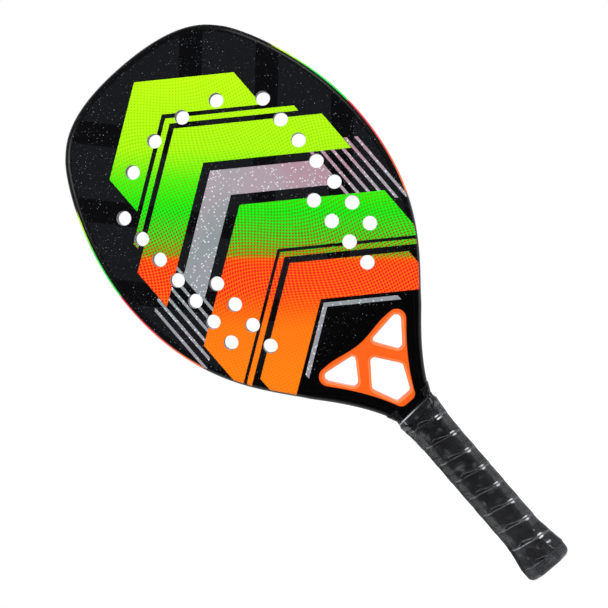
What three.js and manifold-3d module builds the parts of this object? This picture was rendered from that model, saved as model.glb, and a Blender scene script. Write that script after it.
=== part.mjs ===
// A beach tennis racket: a drilled foam paddle between two laminate faces, in a
// tubular frame whose two legs run down into a wound grip. The racket stands on its
// butt end. X runs across the head, Y through it with the front at minus Y, and Z up
// along the middle of the frame to the tip. Sizes are in millimetres.
import * as THREE from 'three';
import { mergeVertices } from 'three/addons/utils/BufferGeometryUtils.js';
import Module from 'manifold-3d';

const wasm = await Module();
wasm.setup();

// Whole racket
const RACKET_LENGTH = 500;
const HEAD_WIDTH = 229.3;
const HEAD_THICKNESS = 22;
const SEAT_GAP = 0.3;
const OVERRUN = 2;

// Side line of the frame: from the tip round the crown to the widest line, in to the
// waist above the throat, and down to where the two legs run side by side in the handle.
// The handle takes up what is left of the length.
const CROWN_LENGTH = 143.55;
const CHEEK_LENGTH = 139.95;
const THROAT_LENGTH = 79.2;
const WAIST_HALF_WIDTH = 56.2;
const WAIST_ANGLE = THREE.MathUtils.degToRad(37.2);
const SHOULDER_ANGLE = THREE.MathUtils.degToRad(45.8);
const shoulderWidthShare = 0.674;
const shoulderDropShare = 0.174;
const crownHandleShare = 0.736;
const shoulderHandleShares = [0.388, 0.604];
const widestHandleShares = [0.4835, 0.565];
const waistHandleShares = [0.234, 0.11];
const legHandleShare = 0.417;

// Frame tube
const TUBE_WIDTH = 11.6;
const TUBE_WALL = 1.5;
const TUBE_EDGE_RADIUS = 5;
const TUBE_INNER_CHAMFER = 2;
const BORE_OUTER_CHAMFER = 2.5;
const BORE_INNER_CHAMFER = 1.2;
const RIM_WIDTH = 5.5;
const LEG_WIDTH = 11.1;
const LEG_GAP = 0.7;
const LEG_TAPER_UNDER_WAIST = 18.5;
const LEG_TAPER_OVER_LEGS = 22.7;
const LEG_END_HEIGHT = 6;

// Faces, core and the holes drilled through them. A column of holes starts at a height
// over the bridge, and the outer one keeps a margin to the tube at its lowest hole.
const SKIN_THICKNESS = 1;
const SKIN_TUCK = 3;
const HOLE_DIAMETER = 11;
const HOLE_PITCH = 20.7;
const DRILLING_OFFSET = -3.6;
const OUTER_COLUMN_MARGIN = 8.8;
const OUTER_COLUMN_RISE = 50;
const OUTER_COLUMN_HOLES = 7;
const COLUMN_SPACING = 20.9;
const INNER_COLUMN_RISE = 28.7;
const INNER_COLUMN_HOLES = 4;
const CROWN_INNER_OFFSET = 13.8;
const CROWN_INNER_DROP = 59.5;
const CROWN_OUTER_OFFSET = 41.7;
const CROWN_OUTER_DROP = 66.6;

// Bridge that closes the hoop above the throat
const BRIDGE_HEIGHT = 14;
const BRIDGE_RISE = 9;

// Throat insert, with the middle of its top edge as its height
const INSERT_OVER_WAIST = 6.5;
const INSERT_OVER_GRIP = 7.2;
const INSERT_TOP_RISE = 3.7;
const INSERT_RISE_SPAN = 30;
const INSERT_TOP_RADIUS = 7;
const INSERT_BOTTOM_RADIUS = 5.5;
const INSERT_BEVEL = 1.6;
const insertReachShares = [2, 1];

// Side window of the insert, by the ribs that it leaves along the frame and at the
// middle line, and by its drops from the insert's top edge
const SIDE_WINDOW_OUTER_RIB = 5.1;
const SIDE_WINDOW_FOOT_RIB = 3.9;
const SIDE_WINDOW_INNER = 7.5;
const SIDE_WINDOW_OUTER_DROP = -1.5;
const SIDE_WINDOW_INNER_DROP = 3.3;
const SIDE_WINDOW_FOOT_DROP = 24.5;
const SIDE_WINDOW_OUTER_RADIUS = 4;
const SIDE_WINDOW_INNER_RADIUS = 2.5;
const SIDE_WINDOW_FOOT_RADIUS = 3.5;

// Middle window of the insert, a kite with a flat foot, by its ribs along the frame
const KITE_TOP_DROP = 12.2;
const KITE_WAIST_DROP = 32.3;
const KITE_WAIST_RIB = 5.1;
const KITE_FOOT_RISE = 5.6;
const KITE_FOOT_RIB = 2.9;
const KITE_TOP_RADIUS = 3;
const KITE_WAIST_RADIUS = 4.5;
const KITE_FOOT_RADIUS = 3.2;

// Gusset, the wedge between the legs under the insert
const GUSSET_TIP_HALF_WIDTH = 1.2;

// Handle pallets: an eight-sided grip round the legs, wider and flatter at its neck,
// where it only just covers the frame, and flared at the butt
const GRIP_OVER_LEGS = 21.2;
const PALLET_SIDE_WALL = 1.85;
const PALLET_FACE_WALL = 2;
const PALLET_FACET = 6.2;
const PALLET_EDGE_RADIUS = 1.6;
const PALLET_UNDER_TOP = 8.5;
const NECK_LENGTH = 38;
const NECK_SIDE_COVER = 0.1;
const NECK_FACE_COVER = 0.35;
const NECK_FACET = 2.6;
const NECK_CURVE = 2.5;
const FLARE_TOP_HEIGHT = 34;
const FLARE_GROWTH = 3.5;
const FLARE_FACET = 7.5;
const FLARE_CURVE = 1.15;
const SPIGOT_STEP = 0.6;

// Butt cap
const CAP_HEIGHT = 24;
const CAP_RIM_HEIGHT = 10.3;
const CAP_FLOOR = 2.8;
const CAP_EDGE_RADIUS = 7;
const CAP_RIM_TAPER = 0.3;

// Grip tape: a strip with skived edges, wound up the handle with each turn lapped
// over the one below
const TAPE_WIDTH = 22;
const TAPE_PITCH = 16.9;
const TAPE_THICKNESS = 0.9;
const TAPE_EDGE = 0.35;
const TAPE_SKIVE = 8;
const TAPE_LAP_GAP = 0.66;
const TAPE_FIRST_EDGE = 9.5;
const TAPE_END_WIDTH = 6;
const TAPE_UNDER_TOP = 5.3;

// Finishing tape over the top end of the winding
const BAND_THICKNESS = 0.4;
const BAND_LIP_LENGTH = 3.7;
const BAND_SHOULDER = 0.4;

// Numbers of steps round the curved shapes
const CROWN_STEPS = 7;
const FLANK_STEPS = 10;
const CHEEK_STEPS = 12;
const THROAT_STEPS = 9;
const HOLE_SIDES = 16;
const TUBE_ARC_STEPS = 3;
const ARC_STEPS = 5;
const WINDOW_ARC_STEPS = 4;
const EDGE_STEPS = 10;
const BRIDGE_FOOT_STEPS = 20;
const MEETING_PASSES = 12;
const GRIP_SIDES = 8;
const GRIP_ARC_POINTS = 3;
const LOOP_STEPS = GRIP_SIDES * GRIP_ARC_POINTS;
const CAP_ARC_STEPS = 4;
const NECK_STEPS = 5;
const FLARE_STEPS = 4;
const GAP_SAMPLES = 8;
const LEAST_CUTS = 6;

const frontFace = -HEAD_THICKNESS / 2;
const backFace = HEAD_THICKNESS / 2;
const seatLevel = HEAD_THICKNESS / 2 - SKIN_THICKNESS - SEAT_GAP;
const seatStep = SKIN_THICKNESS + SEAT_GAP;
const legsHalfSpan = LEG_WIDTH + LEG_GAP / 2;
const widestHeight = RACKET_LENGTH - CROWN_LENGTH;
const waistHeight = widestHeight - CHEEK_LENGTH;
const legsHeight = waistHeight - THROAT_LENGTH;
const gripTopHeight = legsHeight + GRIP_OVER_LEGS;
const palletTopHeight = gripTopHeight - PALLET_UNDER_TOP;
const tapeTopHeight = gripTopHeight - TAPE_UNDER_TOP;
const skinBottomHeight = gripTopHeight - SKIN_TUCK;
const insertTopHeight = waistHeight + INSERT_OVER_WAIST;
const insertBottomHeight = gripTopHeight + INSERT_OVER_GRIP;

// General shapes

// Turns a closed geometry into a solid that can be cut and joined
function solidOf(geometry) {
  const bare = geometry.clone();
  bare.deleteAttribute('normal');
  bare.deleteAttribute('uv');
  const merged = mergeVertices(bare);
  const vertProperties = Float32Array.from(merged.attributes.position.array);
  const triVerts = Uint32Array.from(merged.index.array);
  return new wasm.Manifold(new wasm.Mesh({ numProp: 3, vertProperties, triVerts }));
}

// Turns a solid back into a geometry
function geometryOf(solid) {
  const mesh = solid.getMesh();
  const geometry = new THREE.BufferGeometry();
  const positions = [];
  for (let k = 0; k < mesh.numVert; k += 1) {
    positions.push(...mesh.vertProperties.slice(k * mesh.numProp, k * mesh.numProp + 3));
  }
  geometry.setAttribute('position', new THREE.Float32BufferAttribute(positions, 3));
  geometry.setIndex([...mesh.triVerts]);
  return faceted(geometry);
}

// Gives each facet of an indexed geometry its own flat normal
function faceted(geometry) {
  const flat = geometry.toNonIndexed();
  flat.computeVertexNormals();
  return flat;
}

// Triangles that fill one ring of points, wound the way the ring runs
function ringTriangles(ring) {
  const normal = new THREE.Vector3();
  ring.forEach((point, k) => {
    normal.add(point.clone().cross(ring[(k + 1) % ring.length]));
  });
  normal.normalize();
  const across = ring[1].clone().sub(ring[0]).projectOnPlane(normal).normalize();
  const up = normal.clone().cross(across);
  const flat = ring.map((point) => new THREE.Vector2(point.dot(across), point.dot(up)));
  return THREE.ShapeUtils.triangulateShape(flat, []).map(([a, b, c]) => {
    const turn = flat[b].clone().sub(flat[a]).cross(flat[c].clone().sub(flat[a]));
    return turn > 0 ? [a, b, c] : [a, c, b];
  });
}

// A closed body through rings that hold the same number of points each. Its ends are
// filled, or joined to each other where the rings run round in a loop.
function loft(rings, { looped = false } = {}) {
  const count = rings[0].length;
  const positions = rings.flat().flatMap((point) => [point.x, point.y, point.z]);
  const indices = [];
  const spans = looped ? rings.length : rings.length - 1;
  for (let r = 0; r < spans; r += 1) {
    const next = (r + 1) % rings.length;
    for (let k = 0; k < count; k += 1) {
      const a = r * count + k;
      const b = r * count + (k + 1) % count;
      const c = next * count + k;
      const d = next * count + (k + 1) % count;
      indices.push(a, b, d, a, d, c);
    }
  }
  if (!looped) {
    const last = (rings.length - 1) * count;
    ringTriangles(rings[0]).forEach(([a, b, c]) => indices.push(a, c, b));
    ringTriangles(rings[rings.length - 1]).forEach(([a, b, c]) => {
      indices.push(last + a, last + b, last + c);
    });
  }
  if (signedVolume(positions, indices) < 0) indices.reverse();
  const geometry = new THREE.BufferGeometry();
  geometry.setAttribute('position', new THREE.Float32BufferAttribute(positions, 3));
  geometry.setIndex(indices);
  return geometry;
}

function signedVolume(positions, indices) {
  const vertex = (k) => new THREE.Vector3().fromArray(positions, indices[k] * 3);
  let total = 0;
  for (let k = 0; k < indices.length; k += 3) {
    total += vertex(k).dot(vertex(k + 1).cross(vertex(k + 2)));
  }
  return total;
}

// A flat plate with an outline in X and Z, between two levels of Y
function plate(outline, front, back, holes = []) {
  const shape = new THREE.Shape(outline);
  shape.holes = holes;
  const geometry = new THREE.ExtrudeGeometry(shape, {
    depth: back - front, bevelEnabled: false, curveSegments: HOLE_SIDES / 2,
  });
  return geometry.rotateX(Math.PI / 2).translate(0, back, 0);
}

// Rounds the corners of an outline that have a radius. Growth moves each arc out
// from its centre, for an outline whose rounded corners all point outwards.
function rounded(corners, steps, growth = 0) {
  return corners.flatMap(({ point, radius }, k) => {
    if (!radius) return [point];
    const before = corners[(k + corners.length - 1) % corners.length].point;
    const after = corners[(k + 1) % corners.length].point;
    const toBefore = before.clone().sub(point).normalize();
    const toAfter = after.clone().sub(point).normalize();
    const halfAngle = Math.acos(toBefore.dot(toAfter)) / 2;
    const inward = toBefore.clone().add(toAfter).normalize();
    const centre = point.clone().addScaledVector(inward, radius / Math.sin(halfAngle));
    const reach = radius / Math.tan(halfAngle);
    const start = point.clone().addScaledVector(toBefore, reach).sub(centre);
    const end = point.clone().addScaledVector(toAfter, reach).sub(centre);
    const turn = Math.atan2(start.cross(end), start.dot(end));
    return Array.from({ length: steps + 1 }, (_, step) => {
      const arm = start.clone().rotateAround(new THREE.Vector2(), (turn * step) / steps);
      return centre.clone().add(arm.setLength(radius + growth));
    });
  });
}

const corner = (x, z, radius = 0) => ({ point: new THREE.Vector2(x, z), radius });
const mirrored = (point) => new THREE.Vector2(-point.x, point.y);

// Side line of the frame

// Right half of the side line, from the tip down to the legs
function sideCurves() {
  const tip = new THREE.Vector2(0, RACKET_LENGTH);
  const widest = new THREE.Vector2(HEAD_WIDTH / 2, widestHeight);
  const waist = new THREE.Vector2(WAIST_HALF_WIDTH, waistHeight);
  const legs = new THREE.Vector2(legsHalfSpan, legsHeight);
  const shoulder = new THREE.Vector2(
    widest.x * shoulderWidthShare,
    tip.y - (tip.y - widest.y) * shoulderDropShare,
  );
  const shoulderWay = new THREE.Vector2(Math.cos(SHOULDER_ANGLE), -Math.sin(SHOULDER_ANGLE));
  const waistWay = new THREE.Vector2(-Math.sin(WAIST_ANGLE), -Math.cos(WAIST_ANGLE));
  const down = new THREE.Vector2(0, -1);
  const across = new THREE.Vector2(1, 0);
  const shoulderDrop = tip.y - shoulder.y;
  const flankDrop = shoulder.y - widest.y;
  const cheekDrop = widest.y - waist.y;
  const throatDrop = waist.y - legs.y;
  const along = (from, way, reach) => from.clone().addScaledVector(way, reach);
  return [
    [
      tip, along(tip, across, shoulder.x * crownHandleShare),
      along(shoulder, shoulderWay, -shoulderDrop * shoulderHandleShares[0]), shoulder, CROWN_STEPS,
    ],
    [
      shoulder, along(shoulder, shoulderWay, shoulderDrop * shoulderHandleShares[1]),
      along(widest, down, -flankDrop * widestHandleShares[0]), widest, FLANK_STEPS,
    ],
    [
      widest, along(widest, down, cheekDrop * widestHandleShares[1]),
      along(waist, waistWay, -cheekDrop * waistHandleShares[0]), waist, CHEEK_STEPS,
    ],
    [
      waist, along(waist, waistWay, throatDrop * waistHandleShares[1]),
      along(legs, down, -throatDrop * legHandleShare), legs, THROAT_STEPS,
    ],
  ].map(([a, b, c, d, steps]) => ({ curve: new THREE.CubicBezierCurve(a, b, c, d), steps }));
}

// Stations on the side line, each with the way into the frame at a right angle to it
const sideStations = sideCurves().flatMap(({ curve, steps }, part, all) => {
  const last = part === all.length - 1 ? steps : steps - 1;
  return Array.from({ length: last + 1 }, (_, step) => {
    const point = curve.getPoint(step / steps);
    const way = curve.getTangent(step / steps);
    return { point, inward: new THREE.Vector2(way.y, -way.x) };
  });
});

// Width of the tube, which narrows from the throat into the legs
function tubeWidthAt(height) {
  const bottom = legsHeight + LEG_TAPER_OVER_LEGS;
  const top = waistHeight - LEG_TAPER_UNDER_WAIST;
  const share = THREE.MathUtils.smoothstep(height, bottom, top);
  return THREE.MathUtils.lerp(LEG_WIDTH, TUBE_WIDTH, share);
}

// Right half of a line that runs inside the side line at a distance from it
const insetLine = (distanceAt) => sideStations.map(({ point, inward }) => (
  point.clone().addScaledVector(inward, distanceAt(point.y))
));

// Half-width of such a line at a height
function halfWidthAt(line, height) {
  const next = line.findIndex((point) => point.y < height);
  const below = line[next < 0 ? line.length - 1 : next];
  const above = line[next < 0 ? line.length - 2 : next - 1];
  return THREE.MathUtils.mapLinear(height, above.y, below.y, above.x, below.x);
}

const openingLine = (gap) => insetLine((height) => tubeWidthAt(height) + gap);

// Height at which a curve across the racket meets the wall of the opening
function meetingHeight(line, curve) {
  let height = curve(0);
  for (let pass = 0; pass < MEETING_PASSES; pass += 1) {
    height = curve(halfWidthAt(line, height));
  }
  return height;
}

// Frame tube

// Outline of the tube's section, from the outer wall round by the back to the front,
// as a distance in from the side line and a level of Y. Near the legs the rim comes
// down to the level of the seat under the faces.
function tubeSection(width, rimRise, growth = 0) {
  const level = seatLevel + rimRise;
  const arcCentre = { inset: TUBE_EDGE_RADIUS, level: level - TUBE_EDGE_RADIUS };
  const radius = TUBE_EDGE_RADIUS + growth;
  const half = Array.from({ length: TUBE_ARC_STEPS + 1 }, (_, step) => {
    const angle = (step / TUBE_ARC_STEPS) * (Math.PI / 2);
    return [
      arcCentre.inset - radius * Math.cos(angle),
      arcCentre.level + radius * Math.sin(angle),
    ];
  });
  half.push([RIM_WIDTH + growth, level + growth]);
  half.push([RIM_WIDTH + SEAT_GAP + growth, seatLevel + growth]);
  half.push([width - TUBE_INNER_CHAMFER + growth, seatLevel + growth]);
  half.push([width + growth, seatLevel - TUBE_INNER_CHAMFER + growth]);
  const other = half.map(([inset, y]) => [inset, -y]).reverse();
  return [...half, ...other];
}

// Outline of the bore inside the tube
function boreSection(width) {
  const outer = TUBE_WALL;
  const inner = width - TUBE_WALL;
  const level = seatLevel - TUBE_WALL;
  const half = [
    [outer, level - BORE_OUTER_CHAMFER],
    [outer + BORE_OUTER_CHAMFER, level],
    [inner - BORE_INNER_CHAMFER, level],
    [inner, level - BORE_INNER_CHAMFER],
  ];
  const other = half.map(([inset, y]) => [inset, -y]).reverse();
  return [...half, ...other];
}

// Stations of one side with the straight leg added, down to a height
function legStations(endHeight) {
  const inward = new THREE.Vector2(-1, 0);
  const end = { point: new THREE.Vector2(legsHalfSpan, endHeight), inward };
  return [...sideStations, end];
}

// A section swept up one leg, round the hoop and down the other leg
function hoopLoft(sectionAt, endHeight) {
  const right = legStations(endHeight);
  const left = right.slice(1).reverse().map(({ point, inward }) => (
    { point: mirrored(point), inward: mirrored(inward) }
  ));
  const rings = [...left, ...right].map(({ point, inward }) => (
    sectionAt(point.y).map(([inset, y]) => {
      const spot = point.clone().addScaledVector(inward, inset);
      return new THREE.Vector3(spot.x, y, spot.y);
    })
  ));
  return loft(rings);
}

const rimRiseAt = (height) => (height > palletTopHeight ? seatStep : 0);

function frameTube() {
  const shell = solidOf(hoopLoft(
    (height) => tubeSection(tubeWidthAt(height), rimRiseAt(height)), LEG_END_HEIGHT,
  ));
  const bore = solidOf(hoopLoft(
    (height) => boreSection(tubeWidthAt(height)), LEG_END_HEIGHT - OVERRUN,
  ));
  return geometryOf(shell.subtract(bore));
}

// Room that the legs take inside the handle
function legRoom() {
  return solidOf(hoopLoft(
    (height) => tubeSection(tubeWidthAt(height), rimRiseAt(height), SEAT_GAP), -OVERRUN,
  ));
}

// Drilled holes

// Centres of the holes: a column of seven down each side, a column of four inside it,
// and two pairs across the crown
function holeCentres() {
  const column = (offset, rise, count) => Array.from({ length: count }, (_, k) => (
    [offset, bridgeTop(0) + rise + HOLE_PITCH * k]
  ));
  const radius = HOLE_DIAMETER / 2;
  const lowest = bridgeTop(0) + OUTER_COLUMN_RISE - radius;
  const room = halfWidthAt(openingLine(SEAT_GAP), lowest) - OUTER_COLUMN_MARGIN - radius;
  const outer = room - Math.abs(DRILLING_OFFSET);
  const half = [
    ...column(outer, OUTER_COLUMN_RISE, OUTER_COLUMN_HOLES),
    ...column(outer - COLUMN_SPACING, INNER_COLUMN_RISE, INNER_COLUMN_HOLES),
    [CROWN_INNER_OFFSET, RACKET_LENGTH - CROWN_INNER_DROP],
    [CROWN_OUTER_OFFSET, RACKET_LENGTH - CROWN_OUTER_DROP],
  ];
  return half.flatMap(([x, z]) => [
    new THREE.Vector2(DRILLING_OFFSET - x, z),
    new THREE.Vector2(DRILLING_OFFSET + x, z),
  ]);
}

const drilledHoles = () => holeCentres().map(({ x, y }) => (
  new THREE.Path().absarc(x, y, HOLE_DIAMETER / 2, 0, Math.PI * 2)
));

// Throat insert and what surrounds it

// Top edge of the insert, level at its ends and dipped in the middle
function insertTop(x) {
  const share = Math.min(Math.abs(x) / INSERT_RISE_SPAN, 1);
  return insertTopHeight + (INSERT_TOP_RISE * (1 - Math.cos(Math.PI * share))) / 2;
}

// Outline of the insert, or of an opening that is larger all round by the growth
function insertOutline(growth = 0) {
  const line = openingLine(SEAT_GAP - growth);
  const top = (x) => insertTop(x) + growth;
  const topHeight = meetingHeight(line, top);
  const bottomHeight = insertBottomHeight - growth;
  const topRadius = INSERT_TOP_RADIUS + growth;
  const bottomRadius = INSERT_BOTTOM_RADIUS + growth;
  const sideTop = topHeight - topRadius * insertReachShares[0];
  const sideBottom = bottomHeight + bottomRadius * insertReachShares[1];
  const side = Array.from({ length: EDGE_STEPS + 1 }, (_, k) => {
    const height = THREE.MathUtils.lerp(sideBottom, sideTop, k / EDGE_STEPS);
    return corner(halfWidthAt(line, height), height);
  });
  const right = [
    corner(halfWidthAt(line, bottomHeight), bottomHeight, bottomRadius),
    ...side,
    corner(halfWidthAt(line, topHeight), topHeight, topRadius),
  ];
  const edge = Array.from({ length: EDGE_STEPS + 1 }, (_, k) => {
    const x = THREE.MathUtils.lerp(INSERT_RISE_SPAN, -INSERT_RISE_SPAN, k / EDGE_STEPS);
    return corner(x, top(x));
  });
  const left = right.map(({ point, radius }) => ({ point: mirrored(point), radius })).reverse();
  return rounded([...right, ...edge, ...left], ARC_STEPS);
}

// Half-width of the throat at a height, less the rib that a window leaves there
const besideRib = (height, rib) => halfWidthAt(openingLine(SEAT_GAP), height) - rib;

function kiteCorners() {
  const foot = insertBottomHeight + KITE_FOOT_RISE;
  const waist = insertTopHeight - KITE_WAIST_DROP;
  const right = [
    corner(besideRib(foot, KITE_FOOT_RIB), foot, KITE_FOOT_RADIUS),
    corner(besideRib(waist, KITE_WAIST_RIB), waist, KITE_WAIST_RADIUS),
  ];
  const left = right.map(({ point, radius }) => ({ point: mirrored(point), radius })).reverse();
  return [...right, corner(0, insertTopHeight - KITE_TOP_DROP, KITE_TOP_RADIUS), ...left];
}

function sideWindowCorners(side) {
  const foot = insertTopHeight - SIDE_WINDOW_FOOT_DROP;
  const outer = insertTopHeight - SIDE_WINDOW_OUTER_DROP;
  const inner = insertTopHeight - SIDE_WINDOW_INNER_DROP;
  return [
    corner(side * besideRib(foot, SIDE_WINDOW_FOOT_RIB), foot, SIDE_WINDOW_FOOT_RADIUS),
    corner(side * besideRib(outer, SIDE_WINDOW_OUTER_RIB), outer, SIDE_WINDOW_OUTER_RADIUS),
    corner(side * SIDE_WINDOW_INNER, inner, SIDE_WINDOW_INNER_RADIUS),
  ];
}

// A window cut right through, bevelled at the front and the back
function windowCut(corners) {
  const ring = (y, growth) => rounded(corners, WINDOW_ARC_STEPS, growth).map((point) => (
    new THREE.Vector3(point.x, y, point.y)
  ));
  return solidOf(loft([
    ring(frontFace - OVERRUN, INSERT_BEVEL),
    ring(frontFace, INSERT_BEVEL),
    ring(frontFace + INSERT_BEVEL, 0),
    ring(backFace - INSERT_BEVEL, 0),
    ring(backFace, INSERT_BEVEL),
    ring(backFace + OVERRUN, INSERT_BEVEL),
  ]));
}

function throatInsert() {
  const body = solidOf(plate(insertOutline(), frontFace, backFace));
  const cuts = [kiteCorners(), sideWindowCorners(1), sideWindowCorners(-1)].map(windowCut);
  return geometryOf(cuts.reduce((solid, cut) => solid.subtract(cut), body));
}

// Top edge of the bridge, hollowed like the head's lower end
function bridgeTop(x) {
  const share = x / WAIST_HALF_WIDTH;
  return insertTopHeight + SEAT_GAP + BRIDGE_HEIGHT + BRIDGE_RISE * share * share;
}

// Points of a curve across the racket, from right to left between the walls
function crossing(line, curve, steps) {
  const reach = halfWidthAt(line, meetingHeight(line, curve));
  return Array.from({ length: steps + 1 }, (_, k) => {
    const x = THREE.MathUtils.lerp(reach, -reach, k / steps);
    return new THREE.Vector2(x, curve(x));
  });
}

function throatBridge() {
  const line = openingLine(SEAT_GAP);
  const top = crossing(line, bridgeTop, EDGE_STEPS);
  const bottom = crossing(line, (x) => insertTop(x) + SEAT_GAP, BRIDGE_FOOT_STEPS).reverse();
  const between = line.filter((point) => point.y < top[0].y && point.y > bottom[0].y);
  const left = between.map(mirrored);
  const outline = [...bottom, ...between.slice().reverse(), ...top, ...left];
  return plate(outline, -seatLevel, seatLevel);
}

// Wedge between the legs, from the insert down to where the legs come together
function throatGusset() {
  const line = openingLine(SEAT_GAP);
  const top = insertBottomHeight - SEAT_GAP;
  const inside = line.filter((point) => point.y < top && point.x > GUSSET_TIP_HALF_WIDTH);
  const right = [new THREE.Vector2(halfWidthAt(line, top), top), ...inside];
  const left = right.map(mirrored).reverse();
  return plate([...right, ...left], -seatLevel, seatLevel);
}

// Foam core: fills the hoop above the bridge
function foamCore() {
  const line = openingLine(SEAT_GAP);
  const bottom = crossing(line, (x) => bridgeTop(x) + SEAT_GAP, EDGE_STEPS);
  const right = line.filter((point) => point.y > bottom[0].y);
  const left = right.slice(1).map(mirrored).reverse();
  const outline = [...left, ...right, ...bottom];
  return plate(outline, -seatLevel, seatLevel, drilledHoles());
}

// A laminate face, from the crown down to the top of the handle, with the throat open
function skin(front, back) {
  const line = insetLine(() => RIM_WIDTH + SEAT_GAP);
  const right = line.filter((point) => point.y > skinBottomHeight);
  right.push(new THREE.Vector2(halfWidthAt(line, skinBottomHeight), skinBottomHeight));
  const left = right.slice(1).map(mirrored).reverse();
  const throat = new THREE.Path(insertOutline(SEAT_GAP));
  return plate([...left, ...right], front, back, [throat, ...drilledHoles()]);
}

// Handle

const palletHalfWidth = legsHalfSpan + PALLET_SIDE_WALL;
const palletHalfDepth = seatLevel + PALLET_FACE_WALL;
const neckHalfWidth = halfWidthAt(insetLine(() => 0), gripTopHeight) + NECK_SIDE_COVER;
const neckHalfDepth = backFace + NECK_FACE_COVER;

// Size of the eight-sided surface that the grip is wound on, at a height
function gripSize(height) {
  const neckBottom = gripTopHeight - NECK_LENGTH;
  const neckReach = THREE.MathUtils.clamp((height - neckBottom) / NECK_LENGTH, 0, 1);
  const flareLength = FLARE_TOP_HEIGHT - CAP_RIM_HEIGHT;
  const flareReach = THREE.MathUtils.clamp((FLARE_TOP_HEIGHT - height) / flareLength, 0, 1);
  const neck = neckReach ** NECK_CURVE;
  const flare = flareReach ** FLARE_CURVE;
  const growth = FLARE_GROWTH * flare;
  return {
    halfWidth: THREE.MathUtils.lerp(palletHalfWidth, neckHalfWidth, neck) + growth,
    halfDepth: THREE.MathUtils.lerp(palletHalfDepth, neckHalfDepth, neck) + growth,
    facet: THREE.MathUtils.lerp(PALLET_FACET, NECK_FACET, neck) + (FLARE_FACET - PALLET_FACET) * flare,
    radius: PALLET_EDGE_RADIUS,
  };
}

// Outward way of a side of the grip, counted clockwise from the front; a share between
// two sides gives the way between them
function sideNormal(place) {
  const angle = (place / GRIP_SIDES) * Math.PI * 2;
  return new THREE.Vector2(-Math.sin(angle), -Math.cos(angle));
}

// Growth of a facet for each millimetre that the grip grows all round
const facetGrowth = 2 - Math.SQRT2;

// One ring round the grip, from the left end of the front flat by the left side and
// the back, with each corner of the octagon an arc of points
function gripRing(size, height, offset = 0) {
  const halfWidth = size.halfWidth + offset;
  const halfDepth = size.halfDepth + offset;
  const facet = size.facet + offset * facetGrowth;
  const radius = size.radius + offset;
  const narrow = halfWidth - facet;
  const shallow = halfDepth - facet;
  const vertices = [
    [-narrow, -halfDepth], [-halfWidth, -shallow], [-halfWidth, shallow], [-narrow, halfDepth],
    [narrow, halfDepth], [halfWidth, shallow], [halfWidth, -shallow], [narrow, -halfDepth],
  ];
  return vertices.flatMap(([x, y], k) => {
    const from = sideNormal(k);
    const to = sideNormal(k + 1);
    const both = from.clone().add(to);
    const centre = new THREE.Vector2(x, y).addScaledVector(both, -radius / (1 + from.dot(to)));
    return Array.from({ length: GRIP_ARC_POINTS }, (_, step) => {
      const way = sideNormal(k + step / (GRIP_ARC_POINTS - 1));
      return new THREE.Vector3(centre.x + way.x * radius, centre.y + way.y * radius, height);
    });
  });
}

// Heights between two levels, in equal steps, without the first
const levels = (from, to, steps) => Array.from({ length: steps }, (_, k) => (
  THREE.MathUtils.lerp(from, to, (k + 1) / steps)
));

const tapeLap = TAPE_WIDTH - TAPE_PITCH;
const lapThickness = TAPE_EDGE + (TAPE_THICKNESS - TAPE_EDGE) * Math.min(tapeLap / TAPE_SKIVE, 1);
const tapeSlope = (lapThickness + TAPE_LAP_GAP) / TAPE_PITCH;
const tapeBuild = SEAT_GAP + Math.max(
  tapeSlope * TAPE_WIDTH + TAPE_EDGE,
  tapeSlope * (TAPE_WIDTH - TAPE_SKIVE) + TAPE_THICKNESS,
);

// Both pallets in one piece: the grip down to the cap, and the spigot inside the cap
function palletBlank() {
  const neckBottom = gripTopHeight - NECK_LENGTH;
  const shoulder = CAP_HEIGHT + SEAT_GAP;
  const heights = [
    palletTopHeight,
    ...levels(palletTopHeight, neckBottom, NECK_STEPS),
    FLARE_TOP_HEIGHT,
    shoulder,
  ];
  const grip = heights.map((height) => gripRing(gripSize(height), height));
  const spigotSize = spigot();
  const rings = [
    ...grip,
    gripRing(spigotSize, shoulder),
    gripRing(spigotSize, CAP_FLOOR + SEAT_GAP),
  ];
  return solidOf(loft(rings));
}

// Size of the pallets' lower end, which the cap fits over
function spigot() {
  const straight = gripSize((FLARE_TOP_HEIGHT + gripTopHeight - NECK_LENGTH) / 2);
  return {
    halfWidth: straight.halfWidth - SPIGOT_STEP,
    halfDepth: straight.halfDepth - SPIGOT_STEP,
    facet: straight.facet,
    radius: straight.radius,
  };
}

// One half of the pallets, hollowed for the two legs
function handlePallet(side) {
  const reach = palletHalfWidth * 2;
  const inner = side * (SEAT_GAP / 2);
  const outer = side * reach;
  const half = solidOf(plate([
    new THREE.Vector2(-reach, -OVERRUN),
    new THREE.Vector2(reach, -OVERRUN),
    new THREE.Vector2(reach, RACKET_LENGTH),
    new THREE.Vector2(-reach, RACKET_LENGTH),
  ], Math.min(inner, outer), Math.max(inner, outer)));
  return geometryOf(palletBlank().intersect(half).subtract(legRoom()));
}

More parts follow.
